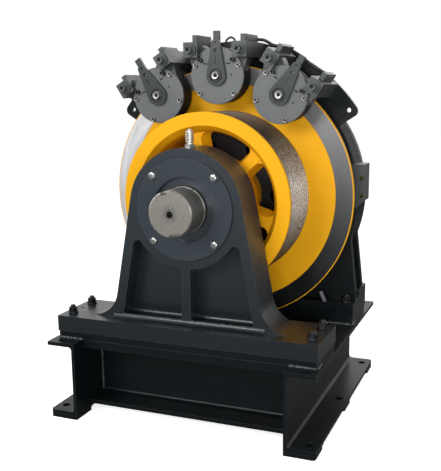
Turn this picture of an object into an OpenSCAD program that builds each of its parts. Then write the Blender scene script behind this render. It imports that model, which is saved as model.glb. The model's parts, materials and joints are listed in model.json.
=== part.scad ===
// Gearless traction machine of a lift: rope sheave on a shaft between two pedestals,
// disc motor behind it and three electromagnetic disc brakes, all on a welded base frame.
// X runs to the right, Y to the back along the shaft, Z up from the floor under the foot pads.

/* [Base frame] */
// Length of the side channels, front to back
frame_l = 740; // [700:1:780]
// How far a pedestal base reaches past the back of a channel web
base_overhang = 80; // [78:1:88]
// Height of a side channel
channel_h = 220; // [200:1:230]
// Width of a channel flange, web included
channel_flange = 88; // [84:1:96]
// Thickness of a channel web
channel_web_t = 9; // [6:0.5:12]
// Thickness of a channel flange
channel_flange_t = 11; // [8:0.5:14]
// Root radius between web and flange
channel_root_r = 10; // [6:1:14]
// Thickness of a foot pad
pad_t = 12; // [8:1:20]
// Length of a foot pad along the channel
pad_l = 80; // [60:1:100]
// Diameter of a foundation bolt hole
foot_hole_d = 22; // [18:0.5:26]
// Radius of the outer corners of the foot pads and lower flanges
pad_corner_r = 10; // [4:1:16]
// Distance from the web back to the foundation bolt holes
foot_hole_x = 61; // [50:1:66]
// Thickness of the packing plates under the pedestals
packing_t = 20; // [12:1:26]
// Distance of the rear packing plates from each side of the saddle
packing_back = 28; // [20:1:34]
// Thickness of a cross beam web
beam_web_t = 10; // [8:0.5:14]
// Thickness of a cross beam top flange
beam_top_t = 24; // [16:1:30]
// Thickness of a cross beam bottom flange
beam_bottom_t = 12; // [8:1:16]
// Gap between the floor and a cross beam
beam_clear_z = 27; // [20:1:36]
// Distance of a cross beam web from the inner edge of its pedestal
beam_setback = 70; // [60:1:80]

/* [Shaft line] */
// Clearance between the stator frame and the top of the side channels
stator_rise = 1; // [1:0.5:12]
// Distance of the front housing face ahead of the frame centre
housing_ahead = 281; // [275:1:290]
// Length of the front bearing housing along the shaft
housing_l = 120; // [112:1:126]
// Gap between the front housing and the sheave
sheave_gap = 24; // [20:1:30]
// How far the shaft end stands out of the front housing
shaft_out = 86; // [60:1:100]
// Diameter of the free shaft end
shaft_end_d = 127; // [120:0.5:128]
// Diameter of the bearing seats
bearing_seat_d = 130; // [129.6:0.1:134]
// Diameter of the sheave and rotor seat
hub_seat_d = 150; // [146:1:156]
// Diameter of the shaft shoulders beside the bearings
shoulder_d = 146; // [142:0.5:146]
// Width of a keyway
key_w = 32; // [25:1:36]
// Height of a key
key_h = 18; // [14:1:22]
// Width of the notches in the shaft end
notch_w = 30; // [20:1:36]
// Depth of the notches in the shaft end
notch_d = 10; // [6:1:14]
// Angle of the notches from upright
notch_angle = -11.5; // [-30:0.5:30]

/* [Bearings] */
// Outer diameter of a bearing
bearing_od = 230; // [226:0.5:232]
// Width of a bearing
bearing_w = 64; // [56:1:66]
// Diameter of a bearing roller
roller_d = 28; // [24:0.5:30]
// Length of a bearing roller
roller_l = 40; // [34:1:42]
// Number of rollers in a bearing
roller_count = 15; // [11:1:15]
// Play between a roller and its rings, on the radius
roller_play = 0.05; // [0.02:0.01:0.1]

/* [Pedestals] */
// Width of a pedestal base
base_w = 790; // [760:1:800]
// Thickness of a pedestal base
base_t = 46; // [36:1:56]
// Length of the front pedestal base along the shaft
front_base_l = 187; // [180:1:187]
// Distance of the front base ahead of the front housing face
front_base_ahead = 42; // [36:1:48]
// Length of the rear pedestal base along the shaft
rear_base_l = 182; // [176:1:188]
// Gap between the brake disc and the rear pedestal base
rear_base_gap = 4; // [3:0.5:6]
// Outer diameter of a bearing housing
housing_d = 335; // [325:1:345]
// How far the housing face stands ahead of the casting walls
housing_proud = 5; // [3:0.5:9]
// Slope of the pedestal legs from upright
leg_slope = 10.7; // [8:0.1:12]
// Radius between the pedestal legs and the base
leg_fillet = 85; // [60:1:95]
// Width of the wall round the pedestal pockets
wall_w = 29; // [22:1:36]
// Width of the middle rib of the front pedestal
rib_w = 28; // [20:1:40]
// Depth of the front pockets
pocket_d = 60; // [45:1:66]
// Thickness of the panel behind the pockets
panel_t = 20; // [14:1:24]
// Corner radius at the top of a pocket
pocket_r = 15; // [10:1:18]
// Radius along the foot of the casting walls
foot_fillet = 14; // [8:1:18]
// Distance of the pedestal bolts from the ends of the bases
base_bolt_edge = 27; // [23:1:33]
// Diameter of the pedestal bolts
base_bolt_d = 16; // [12:1:18]
// Distance between the two bolts of one side of the front pedestal
front_bolt_pitch = 105; // [90:1:110]
// Distance between the two bolts of one side of the rear pedestal
rear_bolt_pitch = 86; // [70:1:96]
// Height of the raised rear bolt pads of the rear pedestal
rear_pad_h = 24; // [10:1:30]
// Width of the raised rear bolt pads
rear_pad_w = 56; // [52:1:64]
// Length of the support stud on the rear pedestal base
stud_l = 32; // [22:1:38]
// Lean of the support stud from upright towards the middle
stud_tilt = 24; // [0:1:30]
// Distance of the support stud inside the end of the base
stud_inset = 95; // [92:1:98]
// Distance of the walls between saddle and shield inside the ends of the base
side_wall_inset = 99; // [96:1:102]
// Thickness of the walls between saddle and shield
side_wall_t = 20; // [16:1:22]
// Height of the walls between saddle and shield
side_wall_h = 130; // [120:1:135]
// Slope of the rear pedestal legs from upright
rear_leg_slope = 6.5; // [5:0.1:8]
// Width and depth of a rib of the rear shield
shield_rib_t = 16; // [12:1:20]
// Start of a shield rib, outwards from the bearing's seat
shield_rib_start = 20; // [16:1:24]
// End of a shield rib, inwards from the stator's outside
shield_rib_inset = 30; // [26:1:40]

/* [Bearing covers] */
// Diameter of a bearing cover
cover_d = 284; // [280:1:290]
// Thickness of the outer flange of a bearing cover
cover_flange_t = 14; // [12:1:16]
// Length of the grease nipple with its screwed end
nipple_h = 61; // [58:1:64]
// Diameter of the recess round the shaft
cover_recess_d = 181; // [170:1:190]
// Depth of the recess round the shaft
cover_recess_depth = 12; // [8:1:18]
// Diameter of the bolt circle of a cover
cover_bolt_circle = 257.6; // [254:0.2:260]
// Diameter of the cover bolts
cover_bolt_d = 12; // [10:1:12]
// Width across flats of the cover bolts
cover_bolt_af = 18; // [16:0.5:19]
// Length of a bolt of the bearing covers
cover_bolt_l = 40; // [35:1:45]
// Distance from the front bearing cover's flange to the bearing
bearing_setback = 14; // [12:1:18]

/* [Sheave] */
// Gap between the brake bodies and the front rope flange
brake_clear = 21; // [16:1:30]
// Width of the sheave
sheave_w = 200; // [195:1:205]
// Width of the front ring with the rope flange
sheave_ring_w = 39; // [35:1:45]
// Width of the rim behind the ring with the rope flange
sheave_rim_w = 57; // [54:1:62]
// Width of the front rope flange
sheave_flange_t = 11; // [8:1:16]
// Depth of the rope band below the front flange
sheave_band_drop = 3; // [2:0.5:5]
// Number of rope grooves
groove_count = 10; // [4:1:10]
// Distance between rope grooves
groove_pitch = 17; // [16:0.5:17.5]
// Radius of the bottom of a rope groove
groove_r = 5.2; // [4:0.1:6]
// Depth of a rope groove
groove_depth = 9; // [7:0.5:11]
// Number of sheave spokes
spoke_count = 6; // [4:1:8]
// Angle of the first spoke from upright
spoke_angle = -12.5; // [-30:0.5:30]
// Width of a spoke at its front face
spoke_front_w = 32; // [24:1:40]
// Width of a spoke at its rear face
spoke_rear_w = 58; // [46:1:66]
// Depth of the spokes along the shaft
spoke_l = 45; // [36:1:60]
// How far the spokes lie behind the front ring
spoke_inset = 36; // [30:1:44]
// Diameter of the dish that carries the spokes
dish_d = 276; // [260:1:310]
// Diameter of the sheave hub
sheave_hub_d = 212; // [200:1:220]

/* [Brake disc and rotor] */
// Distance of the disc edge inside the ends of the pedestal bases
disc_inset = 1.7; // [0.5:0.1:8]
// Width of the machined brake track
track_w = 55.7; // [50:0.1:60]
// Thickness of the brake disc
disc_t = 15; // [12:1:18]
// Depth of the groove turned between web and track
track_step = 1; // [0.5:0.1:2]
// Distance of the bolts of disc, sheave and rotor inside the rope flange
disc_bolt_inset = 35; // [30:1:42]
// Number of disc bolts
disc_bolt_count = 12; // [6:1:16]
// Diameter of the disc bolts
disc_bolt_d = 14; // [12:1:16]
// Thickness of the rotor drum wall
rotor_wall = 16; // [12:1:22]
// Thickness of a magnet
magnet_t = 7; // [5:0.5:8]
// Number of magnets
magnet_count = 24; // [16:2:32]
// Gap between neighbouring magnets
magnet_gap = 12; // [8:1:20]

/* [Stator] */
// Distance of the stator frame inside the disc edge
stator_inset = 5.3; // [3:0.1:10]
// Length of the stator frame along the shaft
stator_l = 91; // [88:1:96]
// Wall of the stator frame
stator_wall = 14; // [12:1:18]
// Height of the ribs round the stator frame
stator_rib_h = 4; // [2:0.5:6]
// Number of ribs round the stator frame
stator_rib_count = 6; // [3:1:8]
// Air gap between magnets and stator core
motor_air_gap = 1.5; // [1:0.1:2]
// Length of the stator core
core_l = 52; // [44:1:56]
// Thickness of the stator core behind the air gap
core_t = 65.5; // [60:0.5:70]
// Number of stator slots
slot_count = 36; // [24:6:48]
// Width of a stator slot
slot_w = 18; // [12:1:20]
// Depth of a stator slot
slot_depth = 34; // [24:1:38]
// Gap between the brake disc and the brake carrier
carrier_gap = 39; // [36:1:44]
// Thickness of the brake carrier
carrier_t = 16; // [12:1:20]
// How far the brake carrier reaches outside the brake centres
carrier_reach = 105; // [102:1:111]
// Width of the brake carrier from its inner to its outer edge
carrier_w = 136; // [130:1:140]
// Half of the angle that the brake carrier covers
carrier_half_angle = 57.5; // [56.5:0.5:60]
// Diameter of the holes in the carrier ears
ear_hole_d = 14; // [8:1:18]
// Distance of the ear holes from the outer edge of the carrier
ear_hole_edge = 23; // [20:1:28]
// Radius of the outer corners of the carrier ears
ear_corner_r = 18; // [6:1:22]
// Thickness of the rear shield
shield_t = 22; // [18:1:26]

/* [Brakes] */
// Angle between neighbouring brakes
brake_angle = 32.4; // [31.5:0.1:34]
// Distance of the brake centres inside the disc edge
brake_inset = 32.3; // [29.5:0.1:35]
// Diameter of a magnet body
magnet_body_d = 160; // [154:1:164]
// Length of a magnet body
magnet_body_l = 62; // [58:1:64]
// Diameter of a brake cover
brake_cover_d = 166; // [162:1:168]
// Thickness of a brake cover
brake_cover_t = 8; // [6:0.5:10]
// Travel of the armature plate
armature_travel = 0.5; // [0.3:0.1:0.6]
// Play left when the armature is drawn in
armature_play = 0.1; // [0.05:0.05:0.2]
// Running gap between a brake lining and the disc
lining_gap = 0.3; // [0.2:0.05:0.4]
// Thickness of the armature plate
armature_t = 10; // [8:1:12]
// Thickness of a moving brake lining
lining_t = 12.7; // [10:0.1:14]
// Height of a brake lining across the track
lining_h = 46; // [36:1:46]
// Length of a brake lining along the track
lining_l = 110; // [90:1:120]
// Length of the brake springs
spring_l = 20; // [16:1:22]
// Distance of a guide bolt from the brake's middle plane
guide_x = 76; // [73:0.5:80]
// Distance of a guide bolt above the brake centre
guide_z = 74; // [72:0.5:78]
// Side of the square guide blocks
guide_block = 44; // [40:1:46]
// Diameter of the guide bolts
guide_bolt_d = 16; // [14:1:18]
// How far the guide blocks reach ahead of the cover
guide_ahead = 20; // [16:1:24]
// Inner radius of the coil
coil_ri = 31; // [28:1:34]
// Outer radius of the coil
coil_ro = 61; // [56:1:62]
// Length of the coil
coil_l = 40; // [34:1:44]
// Radius of the circle of the cover screws
cover_screw_r = 74; // [72:0.5:75]
// Diameter of the cover screw heads
screw_head_d = 13; // [11:0.5:14]
// Height of the heads of the cover screws
screw_head_h = 8; // [6:0.5:9]
// Height of the heads of the stop screws
stop_head_h = 14; // [10:0.5:16]
// Diameter of the shanks of the cover and stop screws
screw_shank_d = 8; // [6:0.5:8]
// How far the cover screws reach into the magnet body
screw_reach = 10; // [8:1:12]
// Width of a switch box
switch_w = 15; // [12:1:20]
// Height of a switch box
switch_h = 22; // [18:1:26]
// Length of a switch box
switch_l = 110; // [80:1:114]

/* [Release levers] */
// Distance from the hub to the tip hole of a lever
lever_eye_r = 92; // [88:1:96]
// Distance from the hub to the fixing hole of a lever
lever_hole_r = 72; // [68:1:76]
// Gap between the brake cover and a release lever
lever_gap = 1.5; // [1:0.1:4]
// Diameter of the washer sunk in the hub of a release lever
release_washer_d = 39; // [34:0.5:42]
// Diameter of the screw head on a release spindle
release_head_d = 23; // [18:0.5:26]
// Distance of the switch boxes behind the front of the guide blocks
switch_behind = 34; // [26:1:34]
// Radius of the lever hub
lever_hub_r = 30; // [24:1:34]
// Radius of the lever tip
lever_tip_r = 13; // [11:1:15]
// Thickness of the lever plate
lever_t = 8; // [6:0.5:10]
// Distance from the hub to the end of the handle
handle_r = 127; // [118:1:134]
// Width of the handle
handle_w = 19; // [14:1:22]
// Diameter of the release spindle
spindle_d = 16; // [12:1:18]
// Radius of the stop pins from the lever hub
stop_r = 68; // [66:1:70]
// Angle of the stop pins from the lever at rest
stop_angle = 48.7; // [46:0.1:50]

/* [Terminal box and cables] */
// Width of the terminal box front plate
terminal_w = 50; // [44:1:54]
// Height of the terminal box
terminal_h = 132; // [110:1:140]
// Depth of the terminal box
terminal_l = 60; // [40:1:70]
// Diameter of the cable entries
entry_d = 16; // [12:1:17]
// Diameter of the switch cable
switch_cable_d = 9; // [6:0.5:9]
// Diameter of the coil lead
coil_lead_d = 6; // [4:0.5:6]

/* [Hidden] */

paint_black = "#2b3136";
paint_yellow = "#f4b21e";
paint_grey = "#7f8283";
steel = "#b9b6ae";
bolt_steel = "#8d9091";
brass = "#8a7a3a";
copper = "#b06a3a";
black_plastic = "#1c1d1f";

fn = 96;
over = 1;                                    // how far a cut runs past the face it opens
cover_rear_t = 10;                           // part of the rear cover outside its housing
encoder_l = 44;                              // length of the encoder
encoder_r = 40;                              // radius of its housing
encoder_flange_r = 52;                       // radius of its flange
encoder_flange_t = 8;                        // thickness of its flange
spigot_r = 10;                               // shaft end inside the encoder
turning_play = 0.05;                         // radial play of a turning pin or shaft
fit = 0.02;                                  // radial play of a seat inside one body

// widths and radii that follow from the width of the pedestal bases
frame_inner_w = base_w - 2 * base_overhang;
base_bolt_x = base_w / 2 - base_bolt_edge;
disc_d = base_w - 2 * disc_inset;
track_id = disc_d - 2 * track_w;
stator_d = disc_d - 2 * stator_inset;
stator_bore_r = stator_d / 2 - stator_wall;
core_r = stator_bore_r - core_t;
magnet_r = core_r - motor_air_gap;
rotor_d = 2 * (magnet_r - magnet_t);
brake_r = disc_d / 2 - brake_inset;
sheave_d = 2 * (brake_r - magnet_body_d / 2 - brake_clear);
sheave_ring_id = sheave_d - 2 * sheave_ring_w;
sheave_rim_id = sheave_d - 2 * sheave_rim_w;
disc_bolt_circle = sheave_d - 2 * disc_bolt_inset;
carrier_r = brake_r + carrier_reach;
carrier_inner_r = carrier_r - carrier_w;
ear_hole_r = carrier_r - ear_hole_edge;

// heights
channel_top = pad_t + channel_h;
base_z0 = channel_top + packing_t;
base_z1 = base_z0 + base_t;
axis_h = channel_top + stator_rise + stator_d / 2 + stator_rib_h;
saddle_r = stator_d / 2 + stator_rib_h + 0.3;
saddle_w = 2 * sqrt(pow(saddle_r, 2) - pow(axis_h - base_z0, 2));
web_back_x = frame_inner_w / 2;
web_face_x = web_back_x + channel_web_t;
flange_tip_x = web_back_x + channel_flange;

// places along the shaft, front to back
y_house = -housing_ahead;
y_house_rear = y_house + housing_l;
y_base_front = y_house - front_base_ahead;
y_base_front_rear = y_base_front + front_base_l;
y_sheave = y_house_rear + sheave_gap;
y_disc = y_sheave + sheave_w;
y_disc_rear = y_disc + disc_t;
y_carrier = y_disc_rear + carrier_gap;
y_stator = y_carrier + carrier_t;
y_shield = y_stator + stator_l;
y_shield_rear = y_shield + shield_t;
y_base_rear = y_disc_rear + rear_base_gap;
y_base_rear_rear = y_base_rear + rear_base_l;
y_bearing_front = y_house + cover_flange_t + bearing_setback;
y_bearing_rear = y_shield_rear - bearing_w + 22;
y_rear_house = y_bearing_rear - 6;
y_rear_house_rear = y_bearing_rear + bearing_w + 10;
y_shaft_front = y_house - shaft_out;
y_shaft_rear = y_rear_house_rear - 2;
y_encoder = y_rear_house_rear + cover_rear_t;

// radii
housing_r = housing_d / 2;
rear_leg_r = base_w / 2 * cos(rear_leg_slope) - (axis_h - base_z1) * sin(rear_leg_slope) - 2.5;
bearing_r = bearing_od / 2;
pitch_r = (bearing_seat_d + bearing_od) / 4;
race_in_r = pitch_r - roller_d / 2 - roller_play;
race_out_r = pitch_r + roller_d / 2 + roller_play;
y_core = y_stator + (stator_l - core_l) / 2;

// brakes
y_lining = y_disc - lining_gap - lining_t;
y_body = y_lining - armature_t - armature_travel - armature_play - magnet_body_l;
y_cover = y_body - brake_cover_t;
y_lever = y_cover - lever_gap - lever_t;
y_block = y_cover - guide_ahead;
y_armature = y_body + magnet_body_l + armature_travel + armature_play;
brake_angles = [-brake_angle, 0, brake_angle];
screw_angles = [66, 134, 226, 294];

// ---------------------------------------------------------------- helpers

// a profile in X and Z, drawn out along Y from y0
module along_y(y0, len) {
    translate([0, y0 + len, 0]) rotate([90, 0, 0]) linear_extrude(len) children();
}

// a profile in Y and Z, drawn out along X from x0
module along_x(x0, len) {
    translate([x0, 0, 0]) rotate([90, 0, 90]) linear_extrude(len) children();
}

// a profile of radius and Y, turned about the shaft line
module turned() {
    translate([0, 0, axis_h]) rotate([-90, 0, 0]) rotate_extrude($fn = fn) children();
}

// a ring about the shaft line
module ring(r_out, r_in, y0, len) {
    turned() translate([r_in, y0]) square([r_out - r_in, len]);
}

// a round bar along Y at a place in X and Z
module bar_y(x, z, r, y0, len, sides = 48) {
    translate([x, y0, z]) rotate([-90, 0, 0]) cylinder(r = r, h = len, $fn = sides);
}

// copies spaced round the shaft line, each with its own upright at radius r
module around(count, r, first = 0) {
    for (i = [0 : count - 1])
        translate([0, 0, axis_h]) rotate([0, first + i * 360 / count, 0]) translate([0, 0, r]) children();
}

// the frame of one brake: its centre at the origin, outwards up, Y as on the machine
module at_brake(angle) {
    translate([0, 0, axis_h]) rotate([0, angle, 0]) translate([0, 0, brake_r]) children();
}

// left and right copies of one side
module both_sides() {
    children();
    mirror([1, 0, 0]) children();
}

// hexagon bar along Y by its width across flats
module hex_y(x, z, af, y0, len) {
    bar_y(x, z, af / 2 / cos(30), y0, len, 6);
}

// the hollow corner between two walls at a right angle
module corner_fillet(r) {
    difference() {
        square([r, r]);
        translate([r, r]) circle(r, $fn = 64);
    }
}

// what is cut away to round an outer corner of 90 degrees standing at the origin
module corner_waste(r) {
    difference() {
        translate([-r, -r]) square([r + over, r + over]);
        translate([-r, -r]) circle(r, $fn = 64);
    }
}

// ---------------------------------------------------------------- base frame

foot_ys = [-frame_l / 2 + pad_l / 2, 0, frame_l / 2 - pad_l / 2];
foot_x = web_back_x + foot_hole_x;
front_bolt_ys = [y_base_front + front_base_ahead, y_base_front + front_base_ahead + front_bolt_pitch];
rear_bolt_ys = [y_base_rear + 22, y_base_rear + 22 + rear_bolt_pitch];

module channel_profile() {
    r = channel_root_r;
    z0 = pad_t + channel_flange_t;
    z1 = channel_top - channel_flange_t;
    difference() {
        translate([web_back_x, pad_t]) square([channel_flange, channel_h]);
        translate([web_face_x + r, z0]) square([channel_flange, z1 - z0]);
        translate([web_face_x, z0 + r]) square([r + over, z1 - z0 - 2 * r]);
        for (z = [z0 + r, z1 - r]) translate([web_face_x + r, z]) circle(r, $fn = 64);
    }
}

module side_channel() {
    color(paint_black) difference() {
        along_y(-frame_l / 2, frame_l) channel_profile();
        for (y = foot_ys) translate([foot_x, y, 0]) cylinder(d = foot_hole_d, h = channel_h / 2, $fn = 48);
        for (y = concat(front_bolt_ys, rear_bolt_ys))
            translate([base_bolt_x, y, channel_top - channel_flange_t - over])
                cylinder(d = base_bolt_d + 1, h = channel_flange_t + 2 * over, $fn = 48);
        for (s = [0, 1]) mirror([0, s, 0])
            translate([web_back_x + channel_flange, frame_l / 2, pad_t - over])
                linear_extrude(channel_flange_t + over) corner_waste(pad_corner_r);
        // lifting holes near both ends of the top flange
        for (s = [-1, 1]) translate([foot_x - 8, s * (frame_l / 2 - 24), channel_h / 2])
            cylinder(d = foot_hole_d, h = channel_h, $fn = 48);
    }
}

module right_side_channel() {
    side_channel();
}

module left_side_channel() {
    mirror([1, 0, 0]) side_channel();
}

module foot_pads() {
    color(paint_black) both_sides() for (y = foot_ys) difference() {
        translate([web_back_x, y - pad_l / 2, 0]) cube([channel_flange, pad_l, pad_t]);
        for (s = [0, 1]) translate([web_back_x + channel_flange, y, -over]) mirror([0, s, 0])
            translate([0, pad_l / 2, 0]) linear_extrude(pad_t + 2 * over) corner_waste(pad_corner_r);
        translate([foot_x, y, -over]) cylinder(d = foot_hole_d, h = pad_t + 2 * over, $fn = 48);
    }
}

// one cross beam between the channels; side +1 opens to the front, -1 to the back
module cross_beam(web_y, top_y, bottom_y, side) {
    web0 = min(web_y, web_y + side * beam_web_t);
    r = channel_root_r;
    inner_y = side > 0 ? web0 : web0 + beam_web_t;
    color(paint_black) along_x(-web_back_x, frame_inner_w) {
        translate([web0, beam_clear_z]) square([beam_web_t, channel_top - beam_clear_z]);
        translate([min(top_y, web0), channel_top - beam_top_t])
            square([max(top_y, web0 + beam_web_t) - min(top_y, web0), beam_top_t]);
        translate([min(bottom_y, web0), beam_clear_z])
            square([max(bottom_y, web0 + beam_web_t) - min(bottom_y, web0), beam_bottom_t]);
        translate([inner_y, beam_clear_z + beam_bottom_t]) scale_y(side) corner_fillet(r);
        translate([inner_y, channel_top - beam_top_t]) mirror([0, 1]) scale_y(side) corner_fillet(r);
    }
}

// turns a profile to the front when side is +1
module scale_y(side) {
    if (side > 0) mirror([1, 0]) children();
    else children();
}

module front_cross_beam() {
    cross_beam(y_base_front_rear - beam_setback - beam_web_t, y_base_front + 2, y_base_front + 23, 1);
}

module rear_cross_beam() {
    cross_beam(y_base_rear + beam_setback + beam_web_t, y_base_rear_rear - 2, y_base_rear_rear - 14, -1);
}

// packing under a pedestal, with its middle left open over a width of gap
module packing_plate(y0, len, ys, gap) {
    color(paint_black) difference() {
        translate([-base_w / 2 + 2, y0 + 2, channel_top]) cube([base_w - 4, len - 4, packing_t]);
        if (gap > 0) translate([-gap / 2, y0, channel_top - over]) cube([gap, len, packing_t + 2 * over]);
        both_sides() for (y = ys) translate([base_bolt_x, y, channel_top - over])
            cylinder(d = base_bolt_d + 1, h = packing_t + 2 * over, $fn = 48);
    }
}

module front_packing_plate() {
    packing_plate(y_base_front, front_base_l, front_bolt_ys, 0);
}

module rear_packing_plate() {
    packing_plate(y_base_rear, rear_base_l, rear_bolt_ys, saddle_w + 2 * packing_back);
}

// bolt from below the channel flange, washer and nut on the pedestal base
module pedestal_bolts() {
    d = base_bolt_d;
    head_z = channel_top - channel_flange_t;
    color(black_plastic) both_sides() for (y = concat(front_bolt_ys, rear_bolt_ys))
        translate([base_bolt_x, y, 0]) {
            translate([0, 0, head_z - d * 0.65]) cylinder(r = d * 0.87, h = d * 0.65, $fn = 6);
            translate([0, 0, head_z - over]) cylinder(d = d, h = base_z1 + 24 - head_z + over, $fn = 48);
            translate([0, 0, base_z1]) cylinder(d = d * 1.9, h = 3, $fn = 48);
            translate([0, 0, base_z1 + 3]) cylinder(r = d * 0.87, h = d * 0.9, $fn = 6);
        }
}

// ---------------------------------------------------------------- pedestals

// half-width at height z of a leg edge that lies at distance d from the shaft line
function leg_x(d, z, slope) = (d - (z - axis_h) * sin(slope)) / cos(slope);

// outline of a pedestal of housing radius r: round head, sloping legs, hollow corners at the base
module pedestal_outline(r, slope, fillet) {
    wb = leg_x(r, base_z1, slope);
    tangent = fillet / tan((90 + slope) / 2);
    centre = [wb + tangent, base_z1 + fillet];
    translate([0, axis_h]) circle(r, $fn = fn);
    polygon([[-r * cos(slope), axis_h + r * sin(slope)], [r * cos(slope), axis_h + r * sin(slope)],
        [wb, base_z1], [wb, base_z1 - over], [-wb, base_z1 - over], [-wb, base_z1]]);
    both_sides() difference() {
        polygon([[wb, base_z1 - over], [centre[0], base_z1 - over], centre,
            [wb - tangent * sin(slope), base_z1 + tangent * cos(slope)]]);
        translate(centre) circle(fillet, $fn = fn);
    }
}

// one pocket of the front pedestal, between the middle rib, the wall and the housing
module pocket_outline() {
    d = housing_r - wall_w;
    r = pocket_r;
    reach = housing_r + r;
    angle = leg_slope - acos((d - r) / reach);
    c = [reach * cos(angle), axis_h + reach * sin(angle)];
    edge = [c[0] + r * cos(leg_slope), c[1] + r * sin(leg_slope)];
    difference() {
        union() {
            polygon([[rib_w / 2, base_z1], [leg_x(d, base_z1, leg_slope), base_z1], edge, c,
                [0, axis_h], [0, axis_h - housing_r + 5], [rib_w / 2, axis_h - housing_r + 5]]);
            translate(c) circle(r, $fn = 48);
        }
        translate([0, axis_h]) circle(housing_r, $fn = fn);
    }
}

module front_pedestal() {
    y_wall = y_house + housing_proud;
    wall_l = housing_l - housing_proud;
    foot_w = leg_x(housing_r, base_z1, leg_slope);
    color(paint_black) difference() {
        union() {
            translate([-base_w / 2, y_base_front, base_z0]) cube([base_w, front_base_l, base_t]);
            difference() {
                along_y(y_wall, wall_l) pedestal_outline(housing_r, leg_slope, leg_fillet);
                both_sides() along_y(y_wall - over, pocket_d + over) pocket_outline();
                both_sides() along_y(y_wall + pocket_d + panel_t, wall_l) pocket_outline();
            }
            ring(housing_r, bearing_r - 20, y_house, housing_l);
            // hollow corners along the foot of the walls and of the pocket panel
            translate([0, y_wall, base_z1]) along_x(-foot_w, 2 * foot_w)
                mirror([1, 0]) corner_fillet(foot_fillet);
            translate([0, y_house_rear, base_z1]) along_x(-foot_w, 2 * foot_w) corner_fillet(foot_fillet);
            translate([0, y_wall + pocket_d, base_z1]) along_x(-foot_w + wall_w / 2, 2 * foot_w - wall_w)
                mirror([1, 0]) corner_fillet(foot_fillet);
        }
        // bearing bore, cover seat and the passages of the shaft
        ring(bearing_r + fit, 0, y_house - over, y_bearing_front + bearing_w + over - y_house);
        ring(cover_d / 2 + fit, 0, y_house - over, cover_flange_t + over);
        ring(bearing_r - 20 + fit, 0, y_house, housing_l + over);
        around(4, cover_bolt_circle / 2, 45)
            bar_y(0, 0, cover_bolt_d / 2 + fit, y_house, cover_bolt_l + 6);
        both_sides() for (y = front_bolt_ys) translate([base_bolt_x, y, base_z0 - over])
            cylinder(d = base_bolt_d + 1, h = base_t + 2 * over, $fn = 48);
        // tapped hole of the levelling screw
        both_sides() translate([base_bolt_x, (front_bolt_ys[0] + front_bolt_ys[1]) / 2, base_z1 - 20])
            cylinder(d = 10, h = 20 + over, $fn = 32);
        // grease hole down to the bearing
        translate([0, y_nipple, axis_h]) cylinder(r = 5 + fit, h = housing_r + over, $fn = 32);
    }
}

// legs of the rear pedestal in one wall, no wider than its base
module rear_outline() {
    pedestal_outline(rear_leg_r, rear_leg_slope, 2);
}

module rear_pedestal() {
    bore_r = bearing_r + fit;
    color(paint_black) difference() {
        union() {
            difference() {
                translate([-base_w / 2, y_base_rear, base_z0]) cube([base_w, rear_base_l, base_t]);
                ring(saddle_r, 0, y_stator - 0.3, stator_l + 0.3);
            }
            // raised pads of the rear bolts
            both_sides() translate([base_w / 2 - rear_pad_w, y_stator + 25, base_z0])
                cube([rear_pad_w, y_base_rear_rear - y_stator - 25, base_t + rear_pad_h]);
            // front saddle wall under the stator frame
            difference() {
                along_y(y_stator, 26) rear_outline();
                ring(saddle_r, 0, y_stator - over, 26 + 2 * over);
            }
            // rear shield with its legs
            along_y(y_shield, shield_t) {
                rear_outline();
                translate([0, axis_h]) circle(stator_d / 2 + stator_rib_h, $fn = fn);
            }
            ring(bearing_r + 34, bore_r, y_rear_house, y_rear_house_rear - y_rear_house);
            // ribs of the shield
            around(8, 0, 22.5)
                translate([-shield_rib_t / 2, y_shield_rear - over, bearing_r + shield_rib_start])
                    cube([shield_rib_t, shield_rib_t + over,
                          stator_d / 2 - shield_rib_inset - bearing_r - shield_rib_start]);
            // side walls between saddle and shield
            both_sides() difference() {
                translate([base_w / 2 - side_wall_inset, y_stator, base_z1 - over])
                    cube([side_wall_t, stator_l, side_wall_h]);
                ring(saddle_r, 0, y_stator - over, stator_l + 2 * over);
            }
        }
        ring(bore_r, 0, y_bearing_rear, y_rear_house_rear + over - y_bearing_rear);
        ring(bearing_r - 12, 0, y_rear_house - over, 20);
        ring(cover_d / 2 + fit, 0, y_rear_house_rear - 8, 8 + over);
        around(4, cover_bolt_circle / 2, 45)
            bar_y(0, 0, cover_bolt_d / 2 + fit, y_rear_house_rear - cover_bolt_l, cover_bolt_l + over);
        both_sides() for (y = rear_bolt_ys) translate([base_bolt_x, y, base_z0 - over])
            cylinder(d = base_bolt_d + 1, h = base_t + 2 * over, $fn = 48);
        // the rear nuts sit sunk in the raised pads
        both_sides() translate([base_bolt_x, rear_bolt_ys[1], base_z1])
            cylinder(d = base_bolt_d * 2.4, h = rear_pad_h + over, $fn = 48);
    }
}

module support_stud() {
    color("#8f86a0") translate([base_w / 2 - stud_inset, y_base_rear + 14, base_z1]) difference() {
        rotate([0, -stud_tilt, 0]) translate([0, 0, -stud_l]) cylinder(d = 20, h = 2 * stud_l, $fn = 48);
        translate([-stud_l, -stud_l, -2 * stud_l]) cube([2 * stud_l, 2 * stud_l, 2 * stud_l]);
    }
}

// ---------------------------------------------------------------- bearings and covers

module bearing_outer_ring(y0) {
    lip = (bearing_w - roller_l) / 2;
    color(steel) turned() difference() {
        translate([race_out_r - 4, y0]) square([bearing_r - race_out_r + 4, bearing_w]);
        translate([0, y0 + lip - 0.3]) square([race_out_r, roller_l + 0.6]);
    }
}

module bearing_inner_ring(y0) {
    lip = (bearing_w - roller_l) / 2;
    color(steel) turned() difference() {
        translate([bearing_seat_d / 2 + fit, y0])
            square([race_in_r + 4 - bearing_seat_d / 2 - fit, bearing_w]);
        translate([race_in_r, y0 + lip - 0.3]) square([race_in_r, roller_l + 0.6]);
    }
}

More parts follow.
